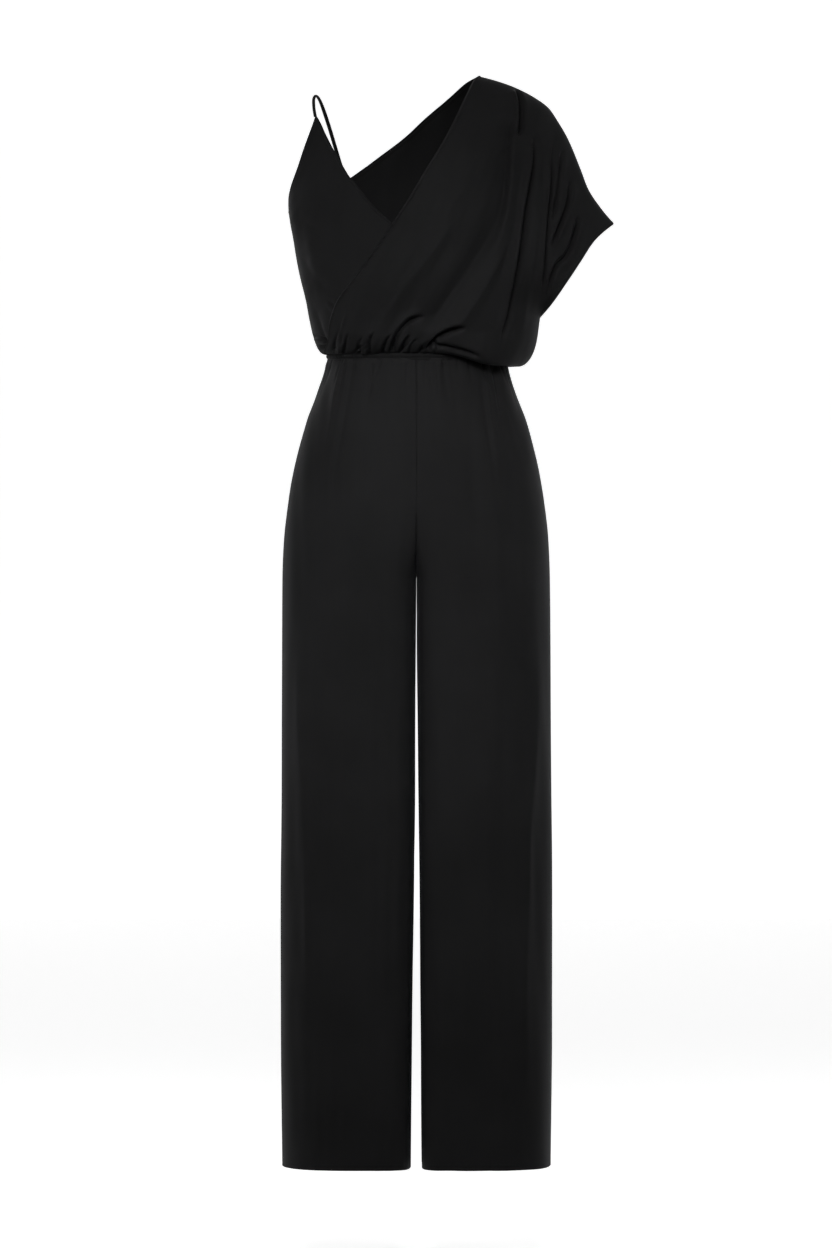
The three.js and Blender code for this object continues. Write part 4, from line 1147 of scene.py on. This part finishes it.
below_corner = np.arange(BACK_CORNER_Z - 4, 1120, -2.5)
one = at_heights(beside(under_inner[:-4]), below_corner)
other = at_heights(beside(back_inner[:-4]), below_corner)
add_turnings("under", "bodice_seam_strap_side", one, other, (-1, 0, 0), "strap_side_front")
low = slice(int(np.argmax(wrap_inner[:, -1, 2] < UNDERARM_Z - 2)), -2)
one, other = (beside(inner[low, ::-1]) for inner in (wrap_inner, back_inner))
add_turnings("wrap", "bodice_seam_sleeve_side", one, other, (1, 0, 0), "wrap_front_with_sleeve")
along_top = np.linspace(0.04, 0.98, 140)
one = beside(columns_at(wrap_inner[:30], WRAP_ACROSS, along_top))
other = beside(columns_at(back_inner[:30], BACK_ACROSS, along_top))
add_turnings("wrap", "shoulder_and_sleeve_seam", one, other, (0.6, 0, 0.8), "wrap_front_with_sleeve")


def glowing_white(name, tone, glow):
    material = bpy.data.materials.new(name)
    material.use_nodes = True
    shader = material.node_tree.nodes["Principled BSDF"]
    shader.inputs["Base Color"].default_value = (tone, tone, tone, 1)
    shader.inputs["Roughness"].default_value = 0.9
    shader.inputs["Specular IOR Level"].default_value = 0.0
    shader.inputs["Emission Color"].default_value = (1, 1, 1, 1)
    shader.inputs["Emission Strength"].default_value = glow
    return material


def stage():
    """A pale floor that starts under the garment and turns up into a pale backdrop far behind it."""
    bend_from, bend_radius, bend_steps = STAGE["bend_from"], STAGE["bend_radius"], 12
    profile = [(STAGE["front"], 0), (bend_from, 0)]
    for k in range(1, bend_steps + 1):
        a = math.pi / 2 * k / bend_steps
        profile.append((bend_from + bend_radius * math.sin(a), bend_radius * (1 - math.cos(a))))
    profile.append((bend_from + bend_radius, STAGE["top"]))
    points = []
    for x in (-STAGE["half"], STAGE["half"]):
        points += [(x, y, STAGE["floor"] + z) for y, z in profile]
    n = len(profile)
    mesh = bpy.data.meshes.new("stage")
    mesh.from_pydata(at_model(points).tolist(), [], [(k, k + n, k + n + 1, k + 1) for k in range(n - 1)])
    mesh.polygons.foreach_set("use_smooth", [True] * len(mesh.polygons))
    sweep = bpy.data.objects.new("stage_sweep", mesh)
    bpy.context.scene.collection.objects.link(sweep)
    sweep.data.materials.append(glowing_white("floor_white", 0.8, 0.68))
    sweep.data.materials.append(glowing_white("backdrop_white", 0.8, 0.8))
    for face in mesh.polygons[1:]:
        face.material_index = 1


def room():
    """A white room round it all, which the camera alone sees, so it lights nothing."""
    bpy.ops.mesh.primitive_uv_sphere_add(radius=ROOM_RADIUS)
    walls = bpy.context.object
    walls.name = "stage_room"
    for rays in ("diffuse", "glossy", "transmission", "volume_scatter", "shadow"):
        setattr(walls, "visible_" + rays, False)
    walls.data.materials.append(glowing_white("room_white", 0, 0.97))


def area_light(name, place, aim, width, height, power, spread=math.pi):
    """A soft light at a place, turned to what it aims at. Its width and height are in metres."""
    data = bpy.data.lights.new(name, "AREA")
    data.shape = "RECTANGLE"
    data.size = width
    data.size_y = height
    data.energy = power
    data.spread = spread
    light = bpy.data.objects.new(name, data)
    bpy.context.scene.collection.objects.link(light)
    start = at_model(place)
    toward = at_model(aim) - start
    light.location = start
    light.rotation_euler = Vector(toward).to_track_quat("-Z", "Y").to_euler()


stage()
room()
area_light("front", (-350, -2300, 1700), (0, 0, 1150), 0.6, 0.6, 6)
area_light("front_high", (-350, -2200, 2300), (0, 0, 1150), 0.6, 0.6, 2)
area_light("key_right", (1400, -1700, 2300), (0, 0, 1150), 0.6, 0.6, 4)
area_light("side_left", (-1500, -700, 1000), (0, 0, 950), 0.4, 1.2, 5.5)
area_light("side_right", (1700, -700, 1900), (0, 0, 900), 0.5, 0.9, 6.5)
area_light("neck", (-500, -1500, 2700), (20, 60, 1400), 0.5, 0.5, 9)
area_light("back_left", (-1500, 1900, 1900), (0, 0, 1000), 0.8, 0.8, 5)
area_light("back_right", (1300, 2100, 2300), (0, 0, 1000), 0.6, 0.6, 4)
area_light("hips", (0, -2300, 2100), (0, 0, 620), 0.8, 0.5, 3.2, spread=0.7)

world = bpy.data.worlds.new("studio")
bpy.context.scene.world = world
world.use_nodes = True
world.node_tree.nodes["Background"].inputs["Color"].default_value = (1, 1, 1, 1)
world.node_tree.nodes["Background"].inputs["Strength"].default_value = 0.01
bpy.context.scene.view_settings.view_transform = "Standard"
